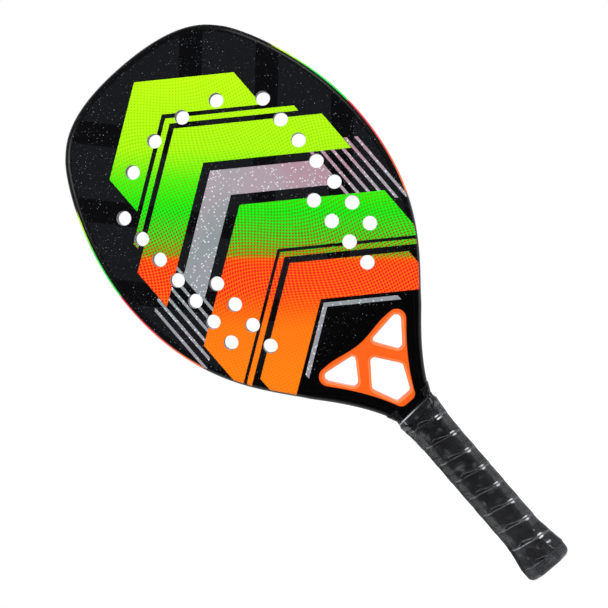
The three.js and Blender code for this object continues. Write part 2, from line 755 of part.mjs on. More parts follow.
function buttCap() {
  const rim = gripSize(CAP_RIM_HEIGHT);
  const edge = Array.from({ length: CAP_ARC_STEPS + 1 }, (_, k) => {
    const angle = (k / CAP_ARC_STEPS) * (Math.PI / 2);
    const inset = CAP_EDGE_RADIUS * (1 - Math.cos(angle)) + CAP_RIM_TAPER;
    const height = CAP_EDGE_RADIUS * (1 - Math.sin(angle));
    return gripRing(edgeSize(rim, inset), height);
  }).reverse();
  const skirt = [CAP_RIM_HEIGHT, ...levels(CAP_RIM_HEIGHT, CAP_HEIGHT, FLARE_STEPS)];
  const rings = [
    ...edge,
    gripRing(rim, CAP_RIM_HEIGHT, tapeBuild),
    ...skirt.map((height) => gripRing(gripSize(height), height)),
  ];
  const socket = [CAP_FLOOR, CAP_HEIGHT + OVERRUN].map((height) => (
    gripRing(spigot(), height, SEAT_GAP)
  ));
  return geometryOf(solidOf(loft(rings)).subtract(solidOf(loft(socket))));
}

// Size of the cap's rounded end, drawn in from the rim
function edgeSize(rim, inset) {
  const offset = tapeBuild - inset;
  return {
    halfWidth: rim.halfWidth + offset,
    halfDepth: rim.halfDepth + offset,
    facet: rim.facet + offset * facetGrowth,
    radius: PALLET_EDGE_RADIUS,
  };
}

// Grip tape

// Share of the way round the grip at each of a loop's steps, from the middle of the front
function loopShares() {
  const ring = gripRing(spigot(), 0);
  const start = new THREE.Vector3(0, ring[0].y, 0);
  let travelled = start.distanceTo(ring[0]);
  const distances = ring.map((point, k) => {
    if (k > 0) travelled += point.distanceTo(ring[k - 1]);
    return travelled;
  });
  const round = travelled + start.distanceTo(ring[ring.length - 1]);
  return distances.map((distance) => distance / round);
}

// Thickness of the strip at a distance up from its lower edge
function tapeThicknessAt(up) {
  const share = Math.min(up / TAPE_SKIVE, (TAPE_WIDTH - up) / TAPE_SKIVE, 1);
  return THREE.MathUtils.lerp(TAPE_EDGE, TAPE_THICKNESS, share);
}

// Distances up the strip at which a section has its points: the two edges, cut level at
// the ends of the winding, and the two lines where the skived edges begin
function tapeCuts(lower) {
  const from = Math.max(0, CAP_RIM_HEIGHT + SEAT_GAP - lower);
  const to = Math.min(TAPE_WIDTH, tapeTopHeight - lower);
  const least = (to - from) / LEAST_CUTS;
  const low = THREE.MathUtils.clamp(TAPE_SKIVE, from + least, to - least * 2);
  const high = THREE.MathUtils.clamp(TAPE_WIDTH - TAPE_SKIVE, low + least, to - least);
  return { from, low, high, to };
}

// One section of the strip, on one of the lines up the grip
function tapeSection(lower, side) {
  const { from, low, high, to } = tapeCuts(lower);
  const outside = [from, low, high, to].map((up) => [up, tapeThicknessAt(up)]);
  return [[from, 0], ...outside, [to, 0]].map(([up, thickness]) => {
    const offset = SEAT_GAP + tapeSlope * (TAPE_WIDTH - up) + thickness;
    const height = lower + up;
    return gripRing(gripSize(height), height, offset)[side];
  });
}

// Sections of the winding, with six points to a section. Each turn leans
// out at its lower edge, where it laps over the top of the turn below, and the first
// and last turns are cut level with the rim of the cap and the top of the grip.
function tapeSections() {
  const shares = loopShares();
  const lowest = CAP_RIM_HEIGHT + SEAT_GAP + TAPE_END_WIDTH - TAPE_WIDTH;
  const highest = tapeTopHeight - TAPE_END_WIDTH;
  const firstTurn = Math.floor((lowest - TAPE_FIRST_EDGE) / TAPE_PITCH);
  const turns = Math.ceil((highest - TAPE_FIRST_EDGE) / TAPE_PITCH) - firstTurn;
  return Array.from({ length: turns * LOOP_STEPS }, (_, step) => {
    const side = step % LOOP_STEPS;
    const turn = firstTurn + Math.floor(step / LOOP_STEPS);
    return { side, lower: TAPE_FIRST_EDGE + TAPE_PITCH * (turn + shares[side]) };
  })
    .filter(({ lower }) => lower >= lowest && lower <= highest)
    .map(({ side, lower }) => tapeSection(lower, side));
}

// Least distance between neighbouring turns, measured between points along the
// sides of the sections that lie over each other
function leastGap(rings) {
  const alongSides = (ring) => ring.flatMap((point, k) => (
    Array.from({ length: GAP_SAMPLES }, (_, step) => (
      point.clone().lerp(ring[(k + 1) % ring.length], step / GAP_SAMPLES)
    ))
  ));
  const sampled = rings.map(alongSides);
  let least = Infinity;
  for (let k = 0; k + LOOP_STEPS < sampled.length; k += 1) {
    for (const point of sampled[k]) {
      for (const other of sampled[k + LOOP_STEPS]) {
        least = Math.min(least, point.distanceTo(other));
      }
    }
  }
  return least;
}

function gripTape() {
  const rings = tapeSections();
  console.log(`least gap between the turns of the grip tape: ${leastGap(rings).toFixed(3)} mm`);
  return faceted(loft(rings));
}

// Finishing tape: a band on the neck of the grip, with a lip over the winding's top edge
function finishingTape() {
  const lipInner = tapeBuild + SEAT_GAP;
  const lipOuter = lipInner + BAND_THICKNESS;
  const seat = tapeTopHeight + SEAT_GAP;
  const profile = [
    [seat - BAND_LIP_LENGTH, lipInner], [seat - BAND_LIP_LENGTH, lipOuter],
    [seat + BAND_SHOULDER, lipOuter], [gripTopHeight, SEAT_GAP + BAND_THICKNESS],
    [gripTopHeight, SEAT_GAP], [seat, SEAT_GAP], [seat, lipInner],
  ];
  const rings = profile.map(([height, offset]) => gripRing(gripSize(height), height, offset));
  return faceted(loft(rings, { looped: true }));
}

// Assembly

function mesh(name, geometry, color, roughness, metalness = 0) {
  const material = new THREE.MeshStandardMaterial({ color, roughness, metalness });
  const piece = new THREE.Mesh(geometry, material);
  piece.name = name;
  return piece;
}

const racket = new THREE.Group();

const head = new THREE.Group();
head.add(mesh('frame_tube', frameTube(), 0x0c0d0f, 0.35));
head.add(mesh('throat_bridge', throatBridge(), 0x16181a, 0.6));
head.add(mesh('throat_gusset', throatGusset(), 0x16181a, 0.6));
head.add(mesh('foam_core', foamCore(), 0x35353a, 0.9));
head.add(mesh('front_face', skin(frontFace, frontFace + SKIN_THICKNESS), 0x0a0b0d, 0.4));
head.add(mesh('back_face', skin(backFace - SKIN_THICKNESS, backFace), 0x0a0b0d, 0.4));
head.add(mesh('throat_insert', throatInsert(), 0xfc681c, 0.45));
racket.add(head);

const handle = new THREE.Group();
handle.add(mesh('handle_pallet_front', handlePallet(-1), 0xb9a98a, 0.8));
handle.add(mesh('handle_pallet_back', handlePallet(1), 0xb9a98a, 0.8));
handle.add(mesh('butt_cap', buttCap(), 0x24262a, 0.5));
handle.add(mesh('grip_tape', gripTape(), 0x141518, 0.55));
handle.add(mesh('finishing_tape', finishingTape(), 0x101113, 0.4));
racket.add(handle);

export default racket;
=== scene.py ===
# A beach tennis racket: a drilled foam paddle between two lacquered faces, in a tubular
# frame with an orange throat insert and a wound grip under clear film. It stands on its
# butt with its front towards minus Y. Sizes are in metres.
import math

import bmesh
import bpy
from mathutils import Matrix, Vector, noise
from mathutils.geometry import tessellate_polygon


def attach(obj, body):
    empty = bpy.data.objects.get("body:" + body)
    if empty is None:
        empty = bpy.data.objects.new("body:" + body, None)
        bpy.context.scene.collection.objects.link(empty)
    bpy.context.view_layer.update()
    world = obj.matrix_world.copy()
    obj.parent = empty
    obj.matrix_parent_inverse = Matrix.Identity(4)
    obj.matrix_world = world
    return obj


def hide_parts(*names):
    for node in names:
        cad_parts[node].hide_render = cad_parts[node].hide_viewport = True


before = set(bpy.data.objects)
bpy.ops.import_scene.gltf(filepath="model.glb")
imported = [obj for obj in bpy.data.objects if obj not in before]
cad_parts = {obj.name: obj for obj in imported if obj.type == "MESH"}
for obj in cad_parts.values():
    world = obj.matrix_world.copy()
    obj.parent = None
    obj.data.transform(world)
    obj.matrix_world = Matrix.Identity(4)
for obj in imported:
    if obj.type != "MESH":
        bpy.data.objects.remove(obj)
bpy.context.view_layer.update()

# Studio
#
# A white table and a white room, dark on the camera's side so that the black lacquer
# stays black, with soft light from above on both sides. The camera faces the front,
# turned so that the racket lies from the upper left of the picture to the lower right.

MM = 0.001
eye = Vector((45.9, -2011, 287.4)) * MM
picture_centre = Vector((-12, -11, 273.5)) * MM
picture_up = Vector((0.6528, 0, 0.7575))
picture_width = 459.4 * MM
sensor_width = 36
racket_middle = Vector((0, 0, 0.25))
white = (1, 1, 1, 1)
room_light = 0.5
room_dark, room_dark_to_light = 0.01, (-0.55, 1.05)
table_reach = 6
table_white = 0.8
table_glow = 0.7
table_dark_to_light = (-0.25, -0.04)


def placed(name, data):
    """A new object in the scene."""
    thing = bpy.data.objects.new(name, data)
    bpy.context.scene.collection.objects.link(thing)
    return thing


camera_data = bpy.data.cameras.new("studio_camera")
camera_data.sensor_width = sensor_width
camera_data.lens = sensor_width * (eye - picture_centre).length / picture_width
camera = placed("studio_camera", camera_data)
bpy.context.scene.camera = camera
bpy.context.scene.view_settings.view_transform = "Standard"
away = (eye - picture_centre).normalized()
rightward = picture_up.cross(away).normalized()
camera.matrix_world = Matrix.Translation(eye) @ Matrix(
    (rightward, away.cross(rightward), away)
).transposed().to_4x4()

for name, place, size, power in (
    ("key_light", (-1.3, -1.5, 1.5), 1.0, 21),
    ("fill_light", (1.5, -1.4, 1.0), 1.0, 17),
    ("back_light", (0.9, 1.8, 1.2), 1.1, 20),
):
    lamp = bpy.data.lights.new(name, "AREA")
    lamp.shape, lamp.size, lamp.energy = "SQUARE", size, power
    holder = placed(name, lamp)
    holder.location = place
    holder.rotation_euler = (racket_middle - Vector(place)).to_track_quat("-Z", "Y").to_euler()
    holder.visible_camera = False


class Signal:
    """One output of a node. Plain arithmetic on it adds the nodes that work it out."""

    def __init__(self, socket):
        self.socket, self.tree = socket, socket.id_data

    def math(self, operation, *others):
        return node(self.tree, "ShaderNodeMath", self, *others, operation=operation)[0]

    def clamped(self):
        """Keeps the step of arithmetic that ends here between 0 and 1."""
        self.socket.node.use_clamp = True
        return self

    def __add__(self, other):
        return self.math("ADD", other)

    def __sub__(self, other):
        return self.math("SUBTRACT", other)

    def __rsub__(self, other):
        return self * -1 + other

    def __mul__(self, other):
        return self.math("MULTIPLY", other)

    def __truediv__(self, other):
        return self.math("DIVIDE", other)

    def __lt__(self, other):
        return self.math("LESS_THAN", other)

    def __gt__(self, other):
        return self.math("GREATER_THAN", other)

    def __abs__(self):
        return self.math("ABSOLUTE")


class Made:
    """A node in a tree, whose outputs are found by number or name."""

    def __init__(self, made):
        self.made = made

    def __getitem__(self, key):
        return Signal(self.made.outputs[key])


def fill(made, *values, **named):
    """Links or fills the inputs of a node in order, and by name with _ for each space."""
    wanted = list(zip(made.inputs, values))
    wanted += [(made.inputs[name.replace("_", " ")], value) for name, value in named.items()]
    for socket, value in wanted:
        if isinstance(value, Signal):
            made.id_data.links.new(value.socket, socket)
        elif value is not None:
            socket.default_value = value


def node(tree, kind, *values, **settings):
    """Adds a node. Settings that start with a capital are inputs, and the others options."""
    made = tree.nodes.new(kind)
    for option, value in settings.items():
        if option[0].islower():
            setattr(made, option, value)
    fill(made, *values, **{name: value for name, value in settings.items() if name[0].isupper()})
    return Made(made)


def mapped(value, *limits, way="LINEAR"):
    """A value moved from one range, its low and high end, to another or to 0 to 1."""
    return node(value.tree, "ShaderNodeMapRange", value, *limits, interpolation_type=way)[0]


def largest(first, *others):
    for other in others:
        first = first.math("MAXIMUM", other)
    return first


def axes(place):
    return node(place.tree, "ShaderNodeSeparateXYZ", place)


world = bpy.data.worlds.new("white_room")
bpy.context.scene.world = world
world.use_nodes = True
room = world.node_tree
ray = node(room, "ShaderNodeLightPath")
depth = axes(node(room, "ShaderNodeTexCoord")["Generated"])["Y"]
mirrored = mapped(depth, *room_dark_to_light, room_dark, 1, way="SMOOTHSTEP")
lit = mapped(ray["Is Glossy Ray"], 0, 1, room_light, mirrored)
seen = largest(ray["Is Camera Ray"], ray["Is Transmission Ray"])
fill(room.nodes["Background"], white, mapped(seen, 0, 1, lit, 1))

table_mesh = bpy.data.meshes.new("table")
corner_sides = (-1, -1), (1, -1), (1, 1), (-1, 1)
table_corners = [(x * table_reach, y * table_reach, 0) for x, y in corner_sides]
table_mesh.from_pydata(table_corners, [], [(0, 1, 2, 3)])
table = placed("table", table_mesh)
white_paper = bpy.data.materials.new("white_paper")
white_paper.use_nodes = True
paper = white_paper.node_tree
paper.nodes.clear()
ray = node(paper, "ShaderNodeLightPath")
depth = axes(node(paper, "ShaderNodeTexCoord")["Object"])["Y"]
dark = ray["Is Glossy Ray"] * mapped(depth, *table_dark_to_light, 1, 0, way="SMOOTHSTEP")
seen = largest(ray["Is Camera Ray"], ray["Is Glossy Ray"], ray["Is Transmission Ray"])
glow = node(paper, "ShaderNodeEmission", white, (seen - dark) * table_glow)[0]
light = (1 - dark) * table_white
grey = node(paper, "ShaderNodeCombineColor", light, light, light)[0]
matt = node(paper, "ShaderNodeBsdfDiffuse", grey)[0]
node(paper, "ShaderNodeOutputMaterial", node(paper, "ShaderNodeAddShader", matt, glow)[0])
table_mesh.materials.append(white_paper)

# Frame tube
#
# One hollow laminate hoop, 22 mm deep with a rounded outer edge, whose two legs run down
# inside the handle. It is lacquered with the faces, and its outer wall has a painted
# band that runs from yellow through green and red to orange.

racket_length = 500 * MM
head_half_width = 114.65 * MM
widest_height = 356.45 * MM
waist_height = 216.5 * MM
waist_half_width = 56.2 * MM
legs_height = 137.3 * MM
legs_half_span = 11.45 * MM
leg_end = 6 * MM
leg_steps = 12
half_thickness = 11 * MM
seat_level = 9.7 * MM
seat_gap = 0.3 * MM
tube_width = 11.6 * MM
leg_width = 11.1 * MM
leg_widening = (160 * MM, 198 * MM)
tube_edge = 5 * MM
edge_steps = 9
inner_chamfer = 2 * MM
rim_width = 5.5 * MM
rim_edge = 0.05 * MM
pallet_top = 150 * MM
seat_run = 3 * MM


def bezier(a, b, c, d, share):
    """A point of a curve with four control points, and the way that it runs there."""
    rest = 1 - share
    point = a * rest**3 + b * (3 * rest**2 * share) + c * (3 * rest * share**2) + d * share**3
    way = (b - a) * rest**2 + (c - b) * (2 * rest * share) + (d - c) * share**2
    return point, way.normalized()


def side_stations():
    """The right half of the side line, from the tip to the legs, with the way inwards."""
    down, across = Vector((0, -1)), Vector((1, 0))
    tip = Vector((0, racket_length))
    widest = Vector((head_half_width, widest_height))
    waist = Vector((waist_half_width, waist_height))
    legs = Vector((legs_half_span, legs_height))
    shoulder = Vector((widest.x * 0.674, tip.y - (tip.y - widest.y) * 0.174))
    slope, lean = math.radians(45.8), math.radians(37.2)
    shoulder_way = Vector((math.cos(slope), -math.sin(slope)))
    waist_way = Vector((-math.sin(lean), -math.cos(lean)))
    drop, flank = tip.y - shoulder.y, shoulder.y - widest.y
    cheek, throat = widest.y - waist.y, waist.y - legs.y
    # Each curve leaves one knot and arrives at the next. The lengths of its two handles,
    # shares of the spans, make it full or slack.
    knots = [
        (tip, across), (shoulder, shoulder_way), (widest, down), (waist, waist_way), (legs, down),
    ]
    curves = [
        (shoulder.x * 0.736, drop * 0.388, 34), (drop * 0.604, flank * 0.4835, 40),
        (cheek * 0.565, cheek * 0.234, 54), (throat * 0.11, throat * 0.417, 44),
    ]
    stations = []
    for (start, leaving), (end, arriving), (out, back, steps) in zip(knots, knots[1:], curves):
        handles = start + leaving * out, end - arriving * back
        for step in range(steps + (end is legs)):
            point, way = bezier(start, *handles, end, step / steps)
            stations.append((point, Vector((way.y, -way.x))))
    return stations


def smoothstep(value, low, high):
    share = min(max((value - low) / (high - low), 0), 1)
    return share * share * (3 - 2 * share)


def tube_width_at(height):
    return leg_width + (tube_width - leg_width) * smoothstep(height, *leg_widening)


def spread(first, last, steps):
    """Even steps from one value to another."""
    return [first + (last - first) * k / steps for k in range(steps + 1)]


def rounding(size, steps):
    """A rounded edge in steps: how far each point has gone in, and how far it stands off."""
    turns = spread(0, math.pi / 2, steps)
    return [(size * (1 - math.cos(turn)), size * (1 - math.sin(turn))) for turn in turns]


def tube_section(width, level):
    """Half outlines of the section, as a distance inwards, a level, and the paint's place."""
    half = [
        (inset, level - sunk, 1 - step / edge_steps)
        for step, (inset, sunk) in enumerate(rounding(tube_edge, edge_steps))
    ]
    half += [
        (rim_width - rim_edge, level, 0),
        (rim_width - rim_edge * 0.3, level - rim_edge * 0.3, 0),
        (rim_width, level - rim_edge, 0),
        (rim_width + seat_gap, seat_level, 0),
        (width - inner_chamfer, seat_level, 0),
        (width, seat_level - inner_chamfer, 0),
    ]
    return half + [(inset, -y, side) for inset, y, side in reversed(half)]


def turned_out(mesh, merged=0):
    """Turns the faces of a mesh outwards, once edges shorter than a length are closed."""
    form = bmesh.new()
    form.from_mesh(mesh)
    if merged:
        bmesh.ops.dissolve_degenerate(form, dist=merged, edges=form.edges)
    bmesh.ops.recalc_face_normals(form, faces=form.faces)
    form.to_mesh(mesh)
    form.free()
    return mesh


def mesh_of(name, points, faces, merged=0, **marks):
    """A mesh with its faces turned out. A mark is a list with a number for each point."""
    mesh = bpy.data.meshes.new(name)
    mesh.from_pydata(points, [], faces)
    for mark, numbers in marks.items():
        mesh.attributes.new(mark, "FLOAT", "POINT").data.foreach_set("value", numbers)
    return turned_out(mesh, merged)


def strip(start, following, count):
    """Faces between two rings of points, by the numbers of their first points."""
    return [
        (start + k, start + (k + 1) % count, following + (k + 1) % count, following + k)
        for k in range(count)
    ]


def loft(name, rings, looped=False, **marks):
    """A closed mesh through rings of the same number of points."""
    count = len(rings[0])
    starts = [count * r for r in range(len(rings))]
    faces = []
    for start, following in zip(starts, starts[1:] + starts[:looped]):
        faces += strip(start, following, count)
    if not looped:
        faces += [tuple(range(start, start + count)) for start in (starts[0], starts[-1])]
    return mesh_of(name, [point for ring in rings for point in ring], faces, **marks)


def shaded(mesh, crease):
    """Smooth shading, but for edges that turn by more than the crease angle."""
    mesh.shade_smooth()
    mesh.set_sharp_from_angle(angle=math.radians(crease))
    return mesh


def coated(mesh, material):
    mesh.materials.clear()
    mesh.materials.append(material)


def seated(name, mesh, stands_for=(), material=None):
    """Makes a mesh a piece of the racket, in the place of its solid."""
    piece = placed(name, mesh)
    if material:
        coated(mesh, material)
    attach(piece, "root")
    if stands_for:
        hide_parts(*stands_for)
    return piece


def finish_named(name, roughness, gloss=None):
    """A new material, its shader with the plain values on it, and the place on the piece."""
    material = bpy.data.materials.new(name)
    material.use_nodes = True
    shader = material.node_tree.nodes["Principled BSDF"]
    fill(shader, Roughness=roughness, Specular_IOR_Level=gloss)
    return material, shader, node(material.node_tree, "ShaderNodeTexCoord")["Object"]


def tint(factor, first, second):
    """A mix of two colours, whose inputs are the seventh and the eighth of the node's."""
    unused = [None] * 5
    return node(factor.tree, "ShaderNodeMix", factor, *unused, first, second, data_type="RGBA")[2]


def paint(red, green, blue):
    """A printed colour from its red, green and blue out of 255."""
    def linear(level):
        level /= 255
        return level / 12.92 if level <= 0.04045 else ((level + 0.055) / 1.055) ** 2.4
    return (linear(red), linear(green), linear(blue), 1)


def ramp(factor, *stops):
    """A run of printed colours or plain levels, each after its place."""
    band = node(factor.tree, "ShaderNodeValToRGB", factor)
    elements = band.made.color_ramp.elements
    while len(elements) < len(stops):
        elements.new(1)
    for element, (place, *colour) in zip(elements, stops):
        element.position = place
        element.color = paint(*colour) if len(colour) == 3 else colour * 4
    return band[0]


def clouds(place, scale, detail=2):
    return node(place.tree, "ShaderNodeTexNoise", Vector=place, Scale=scale, Detail=detail)[0]


def cells(place, scale, **settings):
    return node(place.tree, "ShaderNodeTexVoronoi", Vector=place, Scale=scale, **settings)


def mark(shader, name, output="Fac"):
    return node(shader.id_data, "ShaderNodeAttribute", attribute_name=name)[output]


def varied(shader, field, dark, light, least, swing):
    """A colour and a roughness that both vary with a field."""
    fill(shader, Base_Color=tint(field, dark, light), Roughness=field * swing + least)


def relief(shader, field, height, strength):
    """Unevenness of a surface, as a bump of a real height."""
    bump = node(field.tree, "ShaderNodeBump", Height=field, Distance=height, Strength=strength)
    fill(shader, Normal=bump[0])


def grain(shader, spot, scale, height, detail=2):
    relief(shader, clouds(spot, scale, detail), height, strength=0.6)


def joined_place(x, y, z):
    """A place from its three numbers, one of which at least is worked out by nodes."""
    tree = next(part.tree for part in (x, y, z) if isinstance(part, Signal))
    return node(tree, "ShaderNodeCombineXYZ", x, y, z)[0]


# Sizes of the print, in millimetres. A band has its middle and half of its height on the
# middle line, and its reach to each side.
mm_per_metre = 1000
chevron_slope = 0.7
colour_bands = [
    (468, 16, 62), (445.5, 2.5, 80), (421, 17, 92), (340, 22, 90), (312.5, 2.5, 84), (286, 18, 74),
]
silver_bands = [(384, 12, 66), (262.5, 2, 46)]
pin_stripes = (384, 30, 66, 104)
stripe_pitch, stripe_share = 6.6, 0.33
run_start, run_length = 418.75, 300
dots_per_mm, screen_turn = 0.42, 28
sway_length, sway_reach, heave_length, heave_reach = 21, 5, 17, 6
shadow_slope, shadow_pitch, shadow_middle, shadow_half = -1.1, 86, 0.4, 0.35
ground_change, fleck_change = (235, 290), (205, 235)
specks_per_mm, speck_least, speck_spread, star_growth = 0.55, 0.09, 0.1, 1.9


def artwork(spot, bare_ground):
    """The print on the frame and the faces: broad chevrons in a run of bright colours
    with half-tone dots, a silver chevron that breaks into pin-stripes, and pale flecks."""
    place = axes(spot)
    x, z = place["X"] * mm_per_metre, place["Z"] * mm_per_metre
    off_axis = abs(x)
    rise = off_axis * chevron_slope + z

    def within(value, middle, half):
        return abs(value - middle) < half

    def chevron(middle, half, reach):
        return within(rise, middle, half) * (off_axis < reach)

    coloured = largest(*(chevron(*band) for band in colour_bands))
    middle, half, inner, outer = pin_stripes
    stripe = (off_axis / stripe_pitch).math("FRACT") < stripe_share
    field = within(rise, middle, half) * within(off_axis, (inner + outer) / 2, (outer - inner) / 2)
    silver = largest(stripe * field, *(chevron(*band) for band in silver_bands))

    # Run of the colours, down the picture from the upper left of the head to the throat
    run = (z * -picture_up.z + run_start + x * -picture_up.x) / run_length
    ground = ramp(
        run,
        (0.1, 196, 252, 0), (0.34, 168, 252, 0), (0.42, 60, 250, 0), (0.47, 0, 250, 0),
        (0.57, 0, 226, 34), (0.608, 30, 190, 24), (0.62, 250, 104, 0), (0.73, 252, 106, 0),
        (0.8, 255, 122, 0), (0.92, 255, 132, 0),
    )
    dots = ramp(
        run,
        (0.1, 160, 226, 0), (0.34, 160, 220, 0), (0.42, 110, 200, 0), (0.5, 64, 156, 0),
        (0.56, 136, 96, 0), (0.608, 208, 62, 0), (0.622, 255, 34, 0), (0.64, 255, 0, 20),
        (0.7, 255, 0, 20), (0.74, 255, 60, 0), (0.79, 255, 104, 0),
    )
    size = ramp(run, (0.1, 0.2), (0.34, 0.36), (0.5, 0.34), (0.6, 0.4), (0.7, 0.38), (0.8, 0.24))
    sway = (z / sway_length).math("SINE") * sway_reach
    heave = (x / heave_length).math("SINE") * heave_reach
    screen = joined_place(x + sway, z + heave, 0)
    turned = node(spot.tree, "ShaderNodeVectorRotate", screen, Angle=math.radians(screen_turn))[0]
    screen_cells = cells(turned, dots_per_mm, Randomness=0, voronoi_dimensions="2D")
    bright = tint(screen_cells["Distance"] < size, ground, dots)

    # Silver, from lilac to grey green, and the black ground with faint darker chevrons
    metal = ramp(
        clouds(spot, scale=22, detail=1) * 0.5 + (run - 0.2),
        (0.15, 184, 164, 188), (0.35, 176, 140, 152), (0.5, 170, 158, 166),
        (0.7, 140, 150, 152), (0.9, 156, 152, 162),
    )
    shadow = ((off_axis * shadow_slope + z) / shadow_pitch).math("FRACT")
    over_throat = mapped(z, *ground_change, way="SMOOTHSTEP")
    grey_ground = within(shadow, shadow_middle, shadow_half) * over_throat
    darkest = tint(over_throat, paint(4, 4, 5), paint(9, 9, 11))
    black = tint(grey_ground, darkest, bare_ground)

    # Flecks of several sizes, all over the print but fewer on the throat
    specks = cells(joined_place(x, z, 0), specks_per_mm, voronoi_dimensions="2D")
    chance = node(spot.tree, "ShaderNodeSeparateColor", specks["Color"])
    likely = clouds(spot, scale=30, detail=3) * 0.7 - 0.08 + mapped(z, *fleck_change, -1, 0)
    chosen = chance[0] < likely
    speck_size = chance[1] * speck_spread + speck_least
    fleck = chosen * (specks["Distance"] < speck_size)
    star = chosen * (specks["Distance"] < speck_size * star_growth)
    fleck_shade = tint(chance[2].math("POWER", 3), paint(54, 57, 62), paint(136, 144, 150))

    colour = tint(fleck, black, fleck_shade)
    colour = tint(silver, colour, tint(star, metal, paint(222, 232, 238)))
    return tint(coloured, colour, bright)


painted_frame, shader, spot = finish_named("painted_frame", roughness=0.28, gloss=0.2)
side_colour = ramp(
    1 - axes(spot)["Z"] / racket_length,
    (0.12, 8, 9, 11), (0.135, 205, 255, 0), (0.19, 20, 235, 60), (0.26, 0, 225, 70),
    (0.265, 225, 22, 62), (0.33, 240, 50, 50), (0.42, 255, 112, 30), (0.432, 8, 9, 11),
)
painted = mark(shader, "paint_place") > clouds(spot, scale=60) * 0.04 + 0.5
fill(shader, Base_Color=tint(painted, artwork(spot, paint(12, 12, 14)), side_colour))
grain(shader, spot, scale=900, height=0.02 * MM)


def flipped(point):
    return Vector((-point.x, point.y))


side_line = side_stations()
right_side = side_line + [
    (Vector((legs_half_span, height)), Vector((-1, 0)))
    for height in spread(legs_height, leg_end, leg_steps)[1:]
]
left_side = [(flipped(point), flipped(way)) for point, way in reversed(right_side[1:])]
rings, paint_places = [], []
for point, inward in left_side + right_side:
    raised = smoothstep(point.y, pallet_top, pallet_top + seat_run)
    level = seat_level + (half_thickness - seat_level) * raised
    section = tube_section(tube_width_at(point.y), level)
    rings.append([
        Vector((point.x + inward.x * inset, y, point.y + inward.y * inset))
        for inset, y, _ in section
    ])
    paint_places += [side for _, _, side in section]
frame_mesh = shaded(loft("frame_hoop", rings, paint_place=paint_places), crease=32)
seated("frame_hoop", frame_mesh, ["frame_tube"], painted_frame)

# Bridge and gusset
#
# Two blocks of bare laminate under the faces: the bridge closes the hoop above the
# throat, and the gusset fills the fork between the legs.

bare_laminate, shader, spot = finish_named("bare_laminate", roughness=0.6)
fibres = node(spot.tree, "ShaderNodeTexWave", Vector=spot, Scale=260, Distortion=1.5)[1]
fill(shader, Base_Color=tint(fibres, paint(34, 35, 38), paint(62, 64, 68)))
grain(shader, spot, scale=1200, height=0.05 * MM)
for name in ("throat_bridge", "throat_gusset"):
    coated(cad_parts[name].data, bare_laminate)

# Foam core
#
# A sheet of closed-cell foam that fills the hoop, with the holes drilled through it and
# the faces at one go. Its cut cells show in the walls of the holes.

# Each side has two columns of holes and two holes at the crown, and all are moved a
# little to the left. A column goes down from its top by the pitch.
hole_pattern = {
    "Hole Diameter": 11 * MM, "Pitch": 20.7 * MM, "Offset": -3.6 * MM,
    "Outer Column": 69.3 * MM, "Outer Top": 411.5 * MM, "Outer Holes": 7,
    "Inner Column": 48.4 * MM, "Inner Top": 328.1 * MM, "Inner Holes": 4,
    "Crown Inner": 13.8 * MM, "Crown Inner Height": 440.5 * MM,
    "Crown Outer": 41.7 * MM, "Crown Outer Height": 433.4 * MM,
}
drill_sides, drill_steps = 44, 10
drill_shaft, drill_flare_end = 0.2, 0.8
drill_tip = 1 * MM
drill_clearance = 0.01 * MM
insert_top_height = 223 * MM
insert_top_rise = 3.7 * MM
insert_rise_span = 30 * MM
bridge_depth = 14 * MM
bridge_sag = 9 * MM
meeting_rounds = 14
line_steps = 24
sheet_edge_steps = 3
sheet_shortest_edge = 1e-7
nearly_square_on = 0.999
core_edge = 0.2 * MM
core_hole_edge = 0.1 * MM


def inset_line(distance_at):
    """The right half of a line inside the side line."""
    return [point + inward * distance_at(point.y) for point, inward in side_line]


def half_width_at(line, height):
    k = next((k for k, point in enumerate(line) if point.y < height), len(line) - 1)
    above, below = line[k - 1], line[k]
    share = (height - above.y) / (below.y - above.y)
    return above.x + (below.x - above.x) * share


def opening_line(gap):
    return inset_line(lambda height: tube_width_at(height) + gap)


def both_sides(right, foot=()):
    """A closed outline from its right half, which starts at the tip, and its foot."""
    return [*right, *foot, *(flipped(point) for point in reversed(right[1:]))]


def meeting_height(line, curve):
    """The height at which a line meets a curve, found by going to and fro."""
    height = curve(0)
    for _ in range(meeting_rounds):
        height = curve(half_width_at(line, height))
    return height


def insert_top(x):
    share = min(abs(x) / insert_rise_span, 1)
    return insert_top_height + insert_top_rise * (1 - math.cos(math.pi * share)) / 2


def core_foot(x):
    """The core's lower edge, a gap above the bridge."""
    share = x / waist_half_width
    return insert_top_height + seat_gap + bridge_depth + bridge_sag * share * share + seat_gap


def shifted(loop, distance):
    """A closed line of points moved out from the side that it encloses."""
    area = sum(a.x * b.y - b.x * a.y for a, b in zip(loop, loop[1:] + loop[:1]))
    sign = 1 if area > 0 else -1
    moved = []
    for k, point in enumerate(loop):
        before = (point - loop[k - 1]).normalized()
        after = (loop[(k + 1) % len(loop)] - point).normalized()
        out = Vector((before.y + after.y, -before.x - after.x)) * sign
        moved.append(point + out.normalized() * distance)
    return moved


